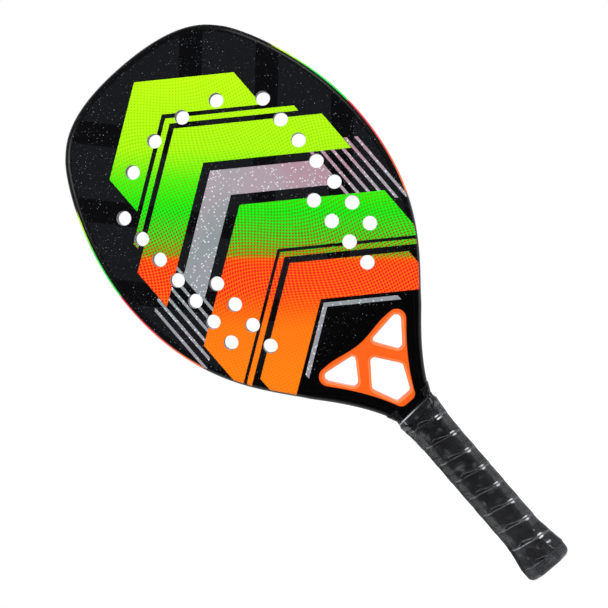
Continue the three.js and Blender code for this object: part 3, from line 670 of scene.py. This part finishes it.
def walled(name, walls, merged=0, **marks):
    """A flat piece between walls, the first round it and the others round its openings.
    A wall is a list of closed lines from the front to the back, each with its level of Y."""
    points, faces, caps = [], [], ([], [])
    for wall in walls:
        count = len(wall[0][1])
        starts = [len(points) + count * k for k in range(len(wall))]
        points += [Vector((p.x, level, p.y)) for level, line in wall for p in line]
        for start, following in zip(starts, starts[1:]):
            faces += strip(start, following, count)
        for cap, start in zip(caps, (starts[0], starts[-1])):
            cap.append(range(start, start + count))
    for cap in caps:
        numbers = [k for ring in cap for k in ring]
        flat = [[Vector((points[k].x, points[k].z, 0)) for k in ring] for ring in cap]
        faces += [tuple(numbers[k] for k in triangle) for triangle in tessellate_polygon(flat)]
    return mesh_of(name, points, faces, merged, **marks)


def sheet_mesh(name, outline, openings, front, back, edge):
    """A flat sheet between two levels of Y, with rounded edges round it and its openings."""
    walls = []
    for line, sign in [(outline, -1)] + [(opening, 1) for opening in openings]:
        half = [(front + sunk, sign * off) for sunk, off in rounding(edge, sheet_edge_steps)]
        half += [(front + back - level, growth) for level, growth in reversed(half)]
        walls.append([(level, shifted(line, growth)) for level, growth in half])
    return walled(name, walls, merged=sheet_shortest_edge)


def flats_flat(mesh):
    """Smooth shading on the edges and walls of a sheet, and flat shading on its two sides."""
    mesh.shade_smooth()
    for face in mesh.polygons:
        face.use_smooth = abs(face.normal.y) < nearly_square_on
    return mesh


def tree_with(name, sizes):
    """An empty tree of geometry nodes, with an input for its mesh and one for each size."""
    tree = bpy.data.node_groups.new(name, "GeometryNodeTree")
    tree.interface.new_socket("Geometry", in_out="OUTPUT", socket_type="NodeSocketGeometry")
    tree.interface.new_socket("Geometry", in_out="INPUT", socket_type="NodeSocketGeometry")
    for title, value in sizes.items():
        kind = {float: "Float", int: "Int"}.get(type(value), "Material")
        tree.interface.new_socket(title, in_out="INPUT", socket_type="NodeSocket" + kind)
    return tree, node(tree, "NodeGroupInput")


def grown(mesh, tree, sizes):
    """Runs a tree on a mesh with its sizes, and returns the result as a plain mesh."""
    carrier = placed(mesh.name, mesh)
    modifier = carrier.modifiers.new(tree.name, "NODES")
    modifier.node_group = tree
    for item in tree.interface.items_tree:
        if item.item_type == "SOCKET" and item.in_out == "INPUT" and item.name in sizes:
            modifier[item.identifier] = sizes[item.name]
    depsgraph = bpy.context.evaluated_depsgraph_get()
    made = bpy.data.meshes.new_from_object(carrier.evaluated_get(depsgraph))
    carrier.modifiers.remove(modifier)
    bpy.data.objects.remove(carrier)
    return made


def sheet_sizes(front, back, edge, material):
    """The sizes of the drilling in one sheet."""
    own = {"Front Level": front, "Back Level": back, "Edge Rounding": edge, "Finish": material}
    return {**hole_pattern, **own}


drilling, given = tree_with("drilling", sheet_sizes(0.0, 0.0, 0.0, None))


def together(parts):
    join = drilling.nodes.new("GeometryNodeJoinGeometry")
    for part in parts:
        drilling.links.new(part.socket, join.inputs[0])
    return Signal(join.outputs[0])


down_one = joined_place(0.0, 0.0, given["Pitch"] * -1)
half_pattern = together([
    node(
        drilling, "GeometryNodeMeshLine", mode="OFFSET", Count=count, Offset=down_one,
        Start_Location=joined_place(given[column], 0.0, given[top]),
    )[0]
    for column, top, count in (
        ("Outer Column", "Outer Top", given["Outer Holes"]),
        ("Inner Column", "Inner Top", given["Inner Holes"]),
        ("Crown Inner", "Crown Inner Height", 1),
        ("Crown Outer", "Crown Outer Height", 1),
    )
])
other_half = node(drilling, "GeometryNodeTransform", half_pattern, Scale=(-1, 1, 1))[0]
pattern = together([half_pattern, other_half])
shift = joined_place(given["Offset"], 0.0, 0.0)
moved = node(drilling, "GeometryNodeTransform", pattern, Translation=shift)[0]
# The drill: a round bar whose ends flare out where it leaves the sheet. Along each half
# of the bar come its shaft, its flare and its tip.
bar = node(
    drilling, "GeometryNodeMeshCylinder",
    Vertices=drill_sides, Side_Segments=drill_steps, Radius=1.0, Depth=2.0,
)[0]
at = axes(node(drilling, "GeometryNodeInputPosition")[0])
along = abs(at["Z"])
quarter = ((along - drill_shaft) / (drill_flare_end - drill_shaft)).clamped() * (math.pi / 2)
beyond = ((along - drill_flare_end) / (1 - drill_flare_end)).clamped() * drill_tip
half_sheet = (given["Back Level"] - given["Front Level"]) * 0.5
mid_sheet = (given["Back Level"] + given["Front Level"]) * 0.5
flare = given["Edge Rounding"] * (1 - quarter.math("COSINE"))
sunk = given["Edge Rounding"] * (quarter.math("SINE") - 1)
drill_radius = given["Hole Diameter"] * 0.5 + flare
lift = half_sheet + sunk + (beyond + drill_clearance)
level = mid_sheet - at["Z"].math("SIGN") * lift
shaped = joined_place(at["X"] * drill_radius, level, at["Y"] * drill_radius)
drill = node(drilling, "GeometryNodeSetPosition", bar, Position=shaped)[0]
drills = node(drilling, "GeometryNodeInstanceOnPoints", moved, Instance=drill)[0]
solid_drills = node(drilling, "GeometryNodeRealizeInstances", drills)[0]
drilled = node(
    drilling, "GeometryNodeMeshBoolean", operation="DIFFERENCE", solver="EXACT",
    Mesh_1=given["Geometry"], Mesh_2=solid_drills,
)[0]
painted_sheet = node(drilling, "GeometryNodeSetMaterial", drilled, Material=given["Finish"])[0]
node(drilling, "NodeGroupOutput", painted_sheet)


def drilled_sheet(mesh, *sizes):
    return flats_flat(grown(mesh, drilling, sheet_sizes(*sizes)))


def foam_named(name, dark, light, roughness, scale, height):
    """A cut foam, whose cells show in its colour and its unevenness."""
    material, shader, spot = finish_named(name, roughness)
    fill(shader, Base_Color=tint(cells(spot, scale)["Distance"], dark, light))
    grain(shader, spot, scale, height)
    return material


cut_foam = foam_named(
    "cut_foam", paint(150, 150, 156), paint(196, 196, 202),
    roughness=0.85, scale=1500, height=0.1 * MM,
)
core_line = opening_line(seat_gap)
foot_height = meeting_height(core_line, core_foot)
foot_reach = half_width_at(core_line, foot_height)
foot = [Vector((x, core_foot(x))) for x in spread(foot_reach, -foot_reach, line_steps)]
core_outline = both_sides([point for point in core_line if point.y > foot_height], foot)
core_mesh = sheet_mesh("foam_core_sheet", core_outline, [], -seat_level, seat_level, core_edge)
core_mesh = drilled_sheet(core_mesh, -seat_level, seat_level, core_hole_edge, cut_foam)
seated("drilled_core", core_mesh, ["foam_core"])

# Front and back faces
#
# Two laminate sheets, 1 mm thick, bonded to the core and let into the frame. They run
# from the crown down to the handle round the throat, and carry the print under lacquer.

face_thickness = 1 * MM
face_foot = 155.5 * MM
face_edge = 0.05 * MM
face_hole_edge = 0.3 * MM
lacquered_joint = 0.04 * MM
insert_foot = 165.7 * MM
insert_top_radius = 7 * MM
insert_foot_radius = 5.5 * MM
insert_corner_steps = 10


def rounded(corners, steps, growth=0):
    """Rounds the corners that have a radius. Growth moves each arc out from its centre."""
    line = []
    for k, (point, radius) in enumerate(corners):
        if not radius:
            line.append(point)
            continue
        before = (corners[k - 1][0] - point).normalized()
        after = (corners[(k + 1) % len(corners)][0] - point).normalized()
        half_angle = math.acos(max(-1, min(1, before.dot(after)))) / 2
        centre = point + (before + after).normalized() * (radius / math.sin(half_angle))
        start = point + before * (radius / math.tan(half_angle)) - centre
        end = point + after * (radius / math.tan(half_angle)) - centre
        turn = math.atan2(start.x * end.y - start.y * end.x, start.dot(end))
        for step in range(steps + 1):
            arm = start.normalized() * (radius + growth)
            arm.rotate(Matrix.Rotation(turn * step / steps, 2))
            line.append(centre + arm)
    return line


def other_side(corners):
    return [(flipped(point), radius) for point, radius in reversed(corners)]


def insert_outline(growth=0):
    """Outline of the throat insert, or of an opening larger all round by the growth."""
    line = opening_line(seat_gap - growth)
    top_height = meeting_height(line, lambda x: insert_top(x) + growth)
    foot = insert_foot - growth
    top_radius, foot_radius = insert_top_radius + growth, insert_foot_radius + growth
    side_foot, side_top = foot + foot_radius, top_height - top_radius * 2
    side = [(height, 0) for height in spread(side_foot, side_top, line_steps)]
    knots = [(foot, foot_radius), *side, (top_height, top_radius)]
    right = [(Vector((half_width_at(line, height), height)), radius) for height, radius in knots]
    places = spread(insert_rise_span, -insert_rise_span, line_steps)
    edge = [(Vector((x, insert_top(x) + growth)), 0) for x in places]
    return rounded([*right, *edge, *other_side(right)], insert_corner_steps)


lacquered_face, shader, spot = finish_named("lacquered_face", roughness=0.22, gloss=0.4)
fill(shader, Base_Color=artwork(spot, paint(23, 24, 27)))
grain(shader, spot, scale=900, height=0.02 * MM)

face_line = inset_line(lambda height: rim_width + lacquered_joint)
right_face = [point for point in face_line if point.y > face_foot]
right_face.append(Vector((half_width_at(face_line, face_foot), face_foot)))
face_outline = both_sides(right_face)
for name, solid, front, back in (
    ("front_sheet", "front_face", -half_thickness, face_thickness - half_thickness),
    ("back_sheet", "back_face", half_thickness - face_thickness, half_thickness),
):
    opening = insert_outline(seat_gap)
    blank = sheet_mesh(name + "_blank", face_outline, [opening], front, back, face_edge)
    sheet = drilled_sheet(blank, front, back, face_hole_edge, lacquered_face)
    seated(name, sheet, [solid])

# Throat insert
#
# A moulded piece of orange plastic, as deep as the head, clipped into the fork of the
# frame. It has a kite-shaped window and a three-cornered window on each side.

window_bevel = 1.6 * MM
window_steps = 9
insert_edge = 0.3 * MM
insert_edge_steps = 4


def corner(x, z, radius):
    """A corner of a window, in millimetres."""
    return (Vector((x, z)) * MM, radius * MM)


kite_right = [corner(6.4, 171.3, 3.2), corner(15.3, 190.7, 4.5)]
kite = [*kite_right, corner(0, 210.8, 3), *other_side(kite_right)]
side_window = [corner(21.9, 198.5, 3.5), corner(42.3, 224.5, 4), corner(7.5, 219.7, 2.5)]


def insert_mesh():
    """The insert, whose windows have a wide bevel with softened edges at both faces."""
    front = -half_thickness
    outer = [(front + sunk, -off) for sunk, off in rounding(insert_edge, insert_edge_steps)]
    bevel = [
        (front, window_bevel + 0.35 * MM), (front + 0.06 * MM, window_bevel + 0.1 * MM),
        (front + 0.3 * MM, window_bevel - 0.2 * MM), (front + window_bevel - 0.3 * MM, 0.25 * MM),
        (front + window_bevel, 0.06 * MM), (front + window_bevel + 0.4 * MM, 0),
    ]
    slope_end = window_bevel + 0.2 * MM
    widened = insert_outline(seat_gap - lacquered_joint)
    walls, slopes = [], []
    for corners in (None, kite, side_window, other_side(side_window)):
        half = bevel if corners else outer
        for level, growth in half + [(-level, growth) for level, growth in reversed(half)]:
            line = rounded(corners, window_steps, growth) if corners else shifted(widened, growth)
            if level == front:
                walls.append([])
            walls[-1].append((level, line))
            # Points on the bevel slopes carry the mark for the bevel's painted highlight
            on_slope = corners and 0 < growth < slope_end
            slopes += [1.0 if on_slope else 0.0] * len(line)
    return walled("throat_piece", walls, bevel_place=slopes)


orange_plastic, shader, spot = finish_named("orange_plastic", roughness=0.38, gloss=0.25)
flow = clouds(spot, scale=45, detail=3)
orange = tint(flow, paint(248, 92, 0), paint(253, 100, 6))
# Painted highlight: the slopes of the window bevels are painted a lighter orange
orange = tint(mark(shader, "bevel_place"), orange, paint(255, 140, 78))
fill(shader, Base_Color=orange, Roughness=flow * 0.12 + 0.33)
grain(shader, spot, scale=1400, height=0.015 * MM)
insert_piece = flats_flat(insert_mesh())
seated("throat_piece", insert_piece, ["throat_insert"], orange_plastic)

# Handle pallets
#
# Two halves of rigid foam glued round the legs of the frame, which give the handle its
# eight sides. They are hidden under the tape.

pallet_foam = foam_named(
    "pallet_foam", paint(168, 152, 118), paint(206, 192, 160),
    roughness=0.8, scale=1100, height=0.08 * MM,
)
for name in ("handle_pallet_front", "handle_pallet_back"):
    coated(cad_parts[name].data, pallet_foam)

# Butt cap
#
# A moulded cap over the end of the handle, eight-sided like the grip, flared so that the
# hand doesn't slip, and rounded at its end.

pallet_width, pallet_depth, pallet_facet = 26.6 * MM, 23.4 * MM, 6.2 * MM
neck_width, neck_depth, neck_facet = 32.33 * MM, 22.7 * MM, 2.6 * MM
grip_top = 158.5 * MM
neck_length = 38 * MM
neck_power = 2.5
flare_top = 34 * MM
flare_growth = 3.5 * MM
flare_facet = 7.5 * MM
flare_power = 1.15
cap_rim = 10.3 * MM
cap_height = 24 * MM
cap_edge = 6 * MM
cap_edge_steps = 8
cap_inset = 0.3 * MM
cap_draft = 0.98
cap_steps = 12
corner_radius = 1.6 * MM
tape_build = 2.42 * MM


def grip_size(height):
    """Half width, half depth and facet of the eight-sided handle at a height."""
    neck = min(max((height - grip_top + neck_length) / neck_length, 0), 1) ** neck_power
    flare = min(max((flare_top - height) / (flare_top - cap_rim), 0), 1) ** flare_power
    growth = flare_growth * flare
    return (
        (pallet_width + (neck_width - pallet_width) * neck) / 2 + growth,
        (pallet_depth + (neck_depth - pallet_depth) * neck) / 2 + growth,
        pallet_facet + (neck_facet - pallet_facet) * neck + (flare_facet - pallet_facet) * flare,
    )


def grip_ring(size, offset=0, arc=5, flats=(5,) * 8, radius=corner_radius):
    """Points round the handle with the way out at each, from the front by the left side.
    Each of the eight corners is an arc, and each flat has points of its own."""
    half_width, half_depth = size[0] + offset, size[1] + offset
    facet = size[2] + offset * (2 - math.sqrt(2))
    radius += offset
    narrow, shallow = half_width - facet, half_depth - facet
    corners = [
        (-narrow, -half_depth), (-half_width, -shallow), (-half_width, shallow),
        (-narrow, half_depth), (narrow, half_depth), (half_width, shallow),
        (half_width, -shallow), (narrow, -half_depth),
    ]

    def way(place):
        return Vector((-math.sin(place * math.pi / 4), -math.cos(place * math.pi / 4)))

    arcs = []
    for k, point in enumerate(corners):
        both = way(k) + way(k + 1)
        centre = Vector(point) - both * (radius / (1 + way(k).dot(way(k + 1))))
        ways = [way(k + step / (arc - 1)) for step in range(arc)]
        arcs.append([(centre + out * radius, out) for out in ways])
    ring = []
    for k, points in enumerate(arcs):
        ring += points
        (start, out), (end, _) = points[-1], arcs[(k + 1) % 8][0]
        ring += [(start.lerp(end, step / (flats[k] + 1)), out) for step in range(1, flats[k] + 1)]
    return ring


def level_ring(ring, height):
    return [Vector((point.x, point.y, height)) for point, _ in ring]


rim_size = grip_size(cap_rim)
cap_sections = [
    (raised, tape_build - cap_inset - inset * cap_draft)
    for raised, inset in rounding(cap_edge, cap_edge_steps)
]
cap_sections += [
    (cap_rim - drop * MM, tape_build - inset * MM)
    for drop, inset in ((0.6, 0.05), (0.1, 0.2), (0, 0.6))
]
cap_rings = [level_ring(grip_ring(rim_size, offset), height) for height, offset in cap_sections]
for height in spread(cap_rim, cap_height, cap_steps):
    cap_rings.append(level_ring(grip_ring(grip_size(height)), height))

cap_plastic, shader, spot = finish_named("cap_plastic", roughness=0.5, gloss=0.1)
flow = clouds(spot, scale=90, detail=4)
varied(shader, flow, paint(22, 24, 26), paint(34, 36, 39), least=0.32, swing=0.2)
grain(shader, spot, scale=1300, height=0.03 * MM)
cap_mesh = shaded(loft("butt_cover", cap_rings), crease=50)
seated("butt_cover", cap_mesh, ["butt_cap"], cap_plastic)

# Grip tape
#
# One strip of soft grey-black polyurethane with thinned edges, wound up the handle from
# the cap. Each turn laps over the top of the turn below and steps down onto the handle.

tape_width = 22 * MM
tape_pitch = 16.9 * MM
tape_thickness = 0.9 * MM
tape_edge = 0.35 * MM
tape_edge_round = 0.3 * MM
tape_skive = 8 * MM
tape_first_edge = 9.5 * MM
tape_low = cap_rim + 0.3 * MM
tape_high = 153.2 * MM
tape_bed = 1.7 * MM
lap_runout = 3 * MM
first_turn = (tape_low - tape_width - tape_first_edge) / tape_pitch
last_turn = (tape_high - tape_first_edge) / tape_pitch
strip_per_turn = 100 * MM
far_out, ray_length = 60 * MM, 100 * MM
closing = 0.004 * MM
tape_shortest_edge = 1e-6
form_steps = 110
form_overlap = 2 * MM

grip_rubber, shader, _ = finish_named("grip_rubber", roughness=0.5, gloss=0.35)
strip_at = mark(shader, "strip_place", "Vector")
blotch = clouds(strip_at, scale=60, detail=3)
varied(shader, blotch, paint(8, 9, 11), paint(24, 25, 29), least=0.38, swing=0.25)
relief(shader, cells(strip_at, scale=1100)["Distance"], height=0.05 * MM, strength=0.5)

winding_sizes = {
    "Tape Width": tape_width, "Pitch": tape_pitch, "First Turn": first_turn,
    "Turns": last_turn - first_turn, "First Edge": tape_first_edge, "Thickness": tape_thickness,
    "Edge Thickness": tape_edge, "Skive": tape_skive, "Bed": tape_bed, "Run-out": lap_runout,
    "Low End": tape_low, "High End": tape_high, "Steps Along": 900, "Steps Across": 37,
    "Finish": grip_rubber,
}
winding, given = tree_with("winding", winding_sizes)


def tapered(reach):
    """Thickness of the tape at a distance from its thinned edge."""
    full = (reach / given["Skive"]).clamped()
    return full * (given["Thickness"] - given["Edge Thickness"]) + given["Edge Thickness"]


steps = given["Steps Along"], given["Steps Across"]
strip_grid = node(winding, "GeometryNodeMeshGrid", 1.0, 1.0, *steps)[0]
at = axes(node(winding, "GeometryNodeInputPosition")[0])
turn_place = (at["X"] + 0.5) * given["Turns"] + given["First Turn"]
# The section runs up the tape's outside and down its inside
section_place = at["Y"] + 0.5
there_and_back = 1 - abs(section_place * 2 - 1)
up = ((there_and_back * math.pi).math("COSINE") * -0.5 + 0.5) * given["Tape Width"]
nearest_edge = up.math("MINIMUM", given["Tape Width"] - up)
round_edge = (nearest_edge / tape_edge_round).clamped().math("SQRT")
thickness = tapered(nearest_edge) * round_edge * (section_place < 0.5)
# Over the lap it rides on the thinned top of the turn below, and then runs out onto the handle
over = given["Tape Width"] - given["Pitch"] - up
run_out = mapped(over, given["Run-out"] * -1, 0.0, way="SMOOTHSTEP")
offset = tapered(over) * run_out + given["Bed"] + thickness
angle = turn_place * (math.pi * 2)
sine, cosine = angle.math("SINE"), angle.math("COSINE")
level = turn_place * given["Pitch"] + given["First Edge"] + up
level = level.math("MAXIMUM", given["Low End"]).math("MINIMUM", given["High End"])
hit = node(
    winding, "GeometryNodeRaycast", Target_Geometry=given["Geometry"], Ray_Length=ray_length,
    Source_Position=joined_place(sine * -far_out, cosine * -far_out, level),
    Ray_Direction=joined_place(sine, cosine, 0.0),
)
lift = node(winding, "ShaderNodeVectorMath", hit["Hit Normal"], operation="SCALE", Scale=offset)
laid_at = node(winding, "ShaderNodeVectorMath", hit["Hit Position"], lift[0], operation="ADD")
marked = node(
    winding, "GeometryNodeStoreNamedAttribute", strip_grid, data_type="FLOAT_VECTOR",
    domain="POINT", Name="strip_place", Value=joined_place(turn_place * strip_per_turn, up, 0.0),
)[0]
laid = node(winding, "GeometryNodeSetPosition", marked, Position=laid_at[0])[0]
closed = node(winding, "GeometryNodeMergeByDistance", laid, Distance=closing)[0]
smooth = node(winding, "GeometryNodeSetShadeSmooth", closed)[0]
real = node(winding, "GeometryNodeRealizeInstances", smooth)[0]
finished = node(winding, "GeometryNodeSetMaterial", real, Material=given["Finish"])[0]
node(winding, "NodeGroupOutput", finished)

form_rings = [
    level_ring(grip_ring(grip_size(height), arc=9, flats=(7,) * 8), height)
    for height in spread(cap_rim - form_overlap, grip_top, form_steps)
]
handle_form = loft("handle_form", form_rings)
tape_mesh = turned_out(grown(handle_form, winding, winding_sizes), merged=tape_shortest_edge)
seated("wound_tape", shaded(tape_mesh, crease=55), ["grip_tape"])

# Finishing tape
#
# A narrow band of glossy stretched tape round the neck of the grip, which holds down the
# last turn with its lower lip.

band_thickness = 0.2 * MM
band_lip = 3.7 * MM
band_seat = tape_high + 0.3 * MM
band_gap = 0.03 * MM
lip_run = 1.1 * MM
soft = 0.1 * MM
lip_foot = band_seat - band_lip
neck_lift = 1.1 * MM
tape_lap = tape_width - tape_pitch


def tape_surface(angle, height):
    """How far out the tape stands from the handle at a place, and its height over a seam."""
    up = ((height - tape_first_edge) / tape_pitch - angle / (2 * math.pi)) % 1 * tape_pitch
    over = tape_lap - up
    full = tape_thickness - tape_edge
    body = tape_edge + full * min(up / tape_skive, (tape_width - up) / tape_skive, 1)
    ridden = tape_edge + full * min(max(over / tape_skive, 0), 1)
    surface = tape_bed + ridden * smoothstep(over, -lap_runout, 0) + body
    lip = tape_bed + tape_edge * 2 + full * tape_lap / tape_skive
    to_lip = smoothstep(up, tape_pitch - lip_run, tape_pitch)
    return surface + (lip - surface) * to_lip, up if up < tape_pitch / 2 else up - tape_pitch


def angle_of(point):
    return math.atan2(-point.x, -point.y)


def band_ring(height, lift, over_tape):
    """Points round the band at a height, over the tape or over the bare handle."""
    points = []
    for point, out in grip_ring(grip_size(height)):
        under = tape_surface(angle_of(point), min(height, tape_high))[0] if over_tape else 0
        spot = point + out * (under + lift)
        points.append(Vector((spot.x, spot.y, height)))
    return points


band_rings = [
    band_ring(height, lift, over_tape)
    for height, lift, over_tape in (
        (lip_foot, band_gap, True), (lip_foot, band_thickness - soft, True),
        (lip_foot + soft, band_thickness, True),
        (band_seat - 1 * MM, band_thickness + 0.05 * MM, True),
        (band_seat + 0.2 * MM, band_thickness, True),
        (band_seat + 1.6 * MM, band_thickness - 0.8 * MM, True),
        (grip_top - 1 * MM, neck_lift, False), (grip_top - soft, 0.95 * MM, False),
        (grip_top, 0.8 * MM, False), (grip_top, 0.3 * MM, False), (band_seat, 0.3 * MM, False),
        (band_seat, band_gap, True),
    )
]
stretched_tape, shader, spot = finish_named("stretched_tape", roughness=0.25, gloss=0.5)
along_grip = node(spot.tree, "ShaderNodeMapping", spot, Scale=(1, 1, 6))[0]
pulled = clouds(along_grip, scale=160, detail=3)
varied(shader, pulled, paint(14, 15, 17), paint(28, 29, 32), least=0.15, swing=0.3)
relief(shader, pulled, height=0.06 * MM, strength=0.4)
band_mesh = shaded(loft("neck_band", band_rings, looped=True), crease=40)
seated("neck_band", band_mesh, ["finishing_tape"], stretched_tape)

# Clear film
#
# A thin clear sleeve that keeps a new grip clean. It is drawn tight over the turns of the
# tape, from the cap to the throat, and puckers at their laps and at its upper end.

film_low = 1 * MM
film_high = 167.5 * MM
film_gap = 0.2 * MM
film_skin = 0.05 * MM
film_steps = 480
film_flats = (9, 3, 3, 3, 3, 3, 4, 17)
# Over the frame: its distance from the frame's sides and faces, its corners, and the
# heights between which it leaves the grip
side_gap, front_gap, throat_facet, throat_corner = 0.75 * MM, 0.35 * MM, 1.9 * MM, 3 * MM
throat_change = (grip_top - 1 * MM, grip_top + 4 * MM)
# Towards the neck it lies looser, but the band presses it close
looseness, loosening = 0.3 * MM, (125 * MM, 145 * MM)
band_press, band_change = 0.1 * MM, (lip_foot - 2 * MM, lip_foot + 1 * MM)
# Small unevenness everywhere, drawn out along the grip, and more at the loose upper end
ripple, ripple_size, ripple_draw = 0.03 * MM, 7 * MM, 0.4
wrinkle_size = 1.7 * MM
end_ripple, end_ripple_size, end_draw = 0.4 * MM, 3.2 * MM, 0.6
# Puckers along the seams of the tape, and a painted highlight along each seam
pucker_height, pucker_width = 0.2 * MM, 1.3 * MM
seam_highlight, seam_line = 0.3, 0.35 * MM
# Creases that arch up from the seams, from the left corner of the front flat to its right
arch_height, arch_rise, arch_fall = 3.2 * MM, (-8.4 * MM, -5.4 * MM), (-8 * MM, 10 * MM)
arch_drop = 0.75
crease_height, crease_width = 0.3 * MM, 0.4 * MM
flat_end = (9 * MM, 8 * MM)
hollow_reach, hollow_shade = 1 * MM, 0.45
# Puckers beside the seams at the right corner of the front flat, with a larger one above
# the cap, each with a painted glint, and one seam with a stronger painted highlight
front_corner, corner_pucker, corner_width = 8.1 * MM, 0.4 * MM, 0.8 * MM
off_seam, off_seam_width = 1.2 * MM, 0.6 * MM
big_pucker, big_pucker_out = 0.7, 1.5 * MM
big_pucker_height, big_pucker_reach = 17.3 * MM, 1 * MM
bright_seam, bright_seam_width = 0.9, 0.5 * MM
bright_seam_height, bright_seam_reach = 28 * MM, 3 * MM
# The fold across the film at the top of the grip, with a painted highlight brighter to the
# left, and painted shade at the corners of the neck
fold_height, fold_width, fold_slope, fold_drop = 0.3 * MM, 0.6 * MM, 0.06, 0.2 * MM
fold_highlight, fold_fade = 0.35, (-6 * MM, 8 * MM)
neck_shade_change = (grip_top - 1.5 * MM, grip_top + 0.5 * MM)
neck_corner = (12.5 * MM, 15 * MM)
# A painted shade down the left side of the front
left_shade_width, left_shade_start, left_shade_spread = 3 * MM, 0.7, 1.5 * MM
# How much the film hides: seen edge on, all over, under its painted shade and painted
# highlights, and in its haze
edge_share, clear_share = 0.6, 0.012
shade_share, highlight_share, haze_share = 0.8, 0.5, 0.024


def crumple(point, height, size, draw=1):
    """Unevenness of thin film at a place, from nothing to about one."""
    return abs(noise.noise(Vector((point.x, point.y, height * draw)) / size))


def bell(value, middle, width):
    return math.exp(-(((value - middle) / width) ** 2))


def film_bed(point, height):
    """How far out lies what the film covers, and the height over a seam of the tape."""
    if height < cap_edge:
        fallen = 1 - math.sqrt(1 - ((cap_edge - height) / cap_edge) ** 2)
        return tape_build - cap_edge * fallen, tape_pitch
    if height < cap_rim:
        return tape_build, tape_pitch
    offset, over_seam = tape_surface(angle_of(point), min(height, tape_high))
    if height <= lip_foot:
        return offset, over_seam
    offset += band_thickness
    return offset + (neck_lift - offset) * smoothstep(height, band_seat, grip_top), tape_pitch


def front_creases(x, height, over_seam, uneven):
    """The arches and puckers on the front: how far they lift the film, how bright their painted
    highlights are on a seam and on a crease, and how far the place is in the hollow of an arch,
    for its painted shade."""
    arch = arch_height * smoothstep(x, *arch_rise)
    arch *= 1 - arch_drop * smoothstep(x, *arch_fall)
    crease = bell(over_seam, arch, crease_width) * smoothstep(abs(x), *flat_end)
    pucker = bell(x, front_corner, corner_width) * bell(abs(over_seam), off_seam, off_seam_width)
    big = bell(x, front_corner + big_pucker_out, corner_width)
    pucker += big_pucker * big * bell(height, big_pucker_height, big_pucker_reach)
    near_bright = bell(height, bright_seam_height, bright_seam_reach)
    on_seam = bright_seam * near_bright * bell(over_seam, 0, bright_seam_width)
    return (
        crease_height * crease + corner_pucker * pucker,
        on_seam * min(1, 3 * uneven),
        max(crease * min(0.6, 0.2 + 1.5 * uneven), 3 * pucker),
        smoothstep(arch - abs(2 * over_seam - arch), 0, hollow_reach),
    )


def inner_side(ring):
    """The inner side of the film behind a ring of its points."""
    ways = [(ring[(k + 1) % len(ring)] - ring[k - 1]).normalized() for k in range(len(ring))]
    return [point + Vector((way.y, -way.x, 0)) * -film_skin for point, way in zip(ring, ways)]


throat_line = [point for point, _ in side_line]
film_rings, film_painted_highlights, film_painted_shades = [], [], []
for height in spread(film_low, film_high, film_steps):
    size = rim_size if height < cap_rim else grip_size(min(height, grip_top))
    ring = grip_ring(size, flats=film_flats)
    frame_half = half_width_at(throat_line, max(height, legs_height + 1 * MM)) + side_gap
    frame_size = (frame_half, half_thickness + front_gap, throat_facet)
    frame_ring = grip_ring(frame_size, flats=film_flats, radius=throat_corner)
    over_throat = smoothstep(height, *throat_change)
    over_band = smoothstep(height, *band_change)
    clearance = film_gap - band_press * over_band
    clearance += looseness * smoothstep(height, *loosening) * (1 - over_band)
    loose_end = smoothstep(height, grip_top, film_high) * end_ripple
    points = []
    for (point, out), (frame_point, _) in zip(ring, frame_ring):
        offset, over_seam = film_bed(point, height)
        offset += clearance + ripple * crumple(point, height, ripple_size, ripple_draw)
        uneven = crumple(point, height, wrinkle_size)
        offset += pucker_height * bell(over_seam, 0, pucker_width) * uneven
        # Painted highlight: a line along each seam, and on the front at the creases, glints and
        # fold
        folded = seam_highlight * bell(over_seam, 0, seam_line)
        hollow = 0
        if point.y < 0:
            lift, seam, crease, hollow = front_creases(point.x, height, over_seam, uneven)
            offset += lift
            folded = max(folded + seam, crease)
        spot = (point + out * offset).lerp(frame_point, over_throat)
        if spot.y < 0:
            drawn = bell(height, grip_top - fold_drop + fold_slope * spot.x, fold_width)
            spot += out * (fold_height * drawn)
            folded = max(folded, drawn * (fold_highlight + smoothstep(-spot.x, *fold_fade)))
        spot += out * (loose_end * crumple(point, height, end_ripple_size, end_draw))
        points.append(Vector((spot.x, spot.y, height)))
        film_painted_highlights.append(folded)
        # Painted shade at the corners of the neck
        bunched = smoothstep(height, *neck_shade_change)
        bunched *= smoothstep(abs(spot.x), *neck_corner) * min(1, 0.55 + 2 * uneven)
        if spot.y < 0 and height < lip_foot:
            # Painted shade down the left side and in the hollows between the creases
            side = size[0] + offset
            left_shade = smoothstep(-spot.x, side - left_shade_width, side - left_shade_start * left_shade_width)
            left_shade *= min(1, 0.5 + 0.4 * bell(over_seam, 0, left_shade_spread) + 0.6 * uneven)
            bunched = max(bunched, left_shade, hollow_shade * hollow)
        film_painted_shades.append(bunched)
    film_rings.append(points)
inside = [0.0] * len(film_painted_highlights)
film_mesh = loft(
    "grip_film", film_rings + [inner_side(ring) for ring in reversed(film_rings)], looped=True,
    folded=film_painted_highlights + inside, bunched=film_painted_shades + inside,
)

clear_film, shader, spot = finish_named("clear_film", roughness=0.12, gloss=0.2)
turned_away = node(spot.tree, "ShaderNodeLayerWeight", 0.5)["Facing"]
# Painted highlights make the film white and opaque at glints, seams, creases and the fold; painted
# shade makes it dark
highlight, bunched = mark(shader, "folded"), mark(shader, "bunched")
darkened = (bunched * 4).clamped()
haze = mapped(clouds(spot, scale=150, detail=4), 0.52, 0.7) * (axes(spot)["Z"] < grip_top)
film_alpha = turned_away.math("POWER", 5) * edge_share + clear_share
film_alpha = film_alpha + bunched * shade_share + highlight * highlight_share
fill(
    shader, Base_Color=tint(darkened, (0.86, 0.88, 0.94, 1), (0.015, 0.015, 0.017, 1)),
    Alpha=(film_alpha + haze * haze_share).clamped(), Roughness=highlight * 0.08 + 0.12,
    Metallic=(1 - largest(highlight, haze, darkened)).clamped(),
)
grain(shader, spot, scale=330, height=0.3 * MM, detail=3)
seated("grip_film", shaded(film_mesh, crease=80), material=clear_film)
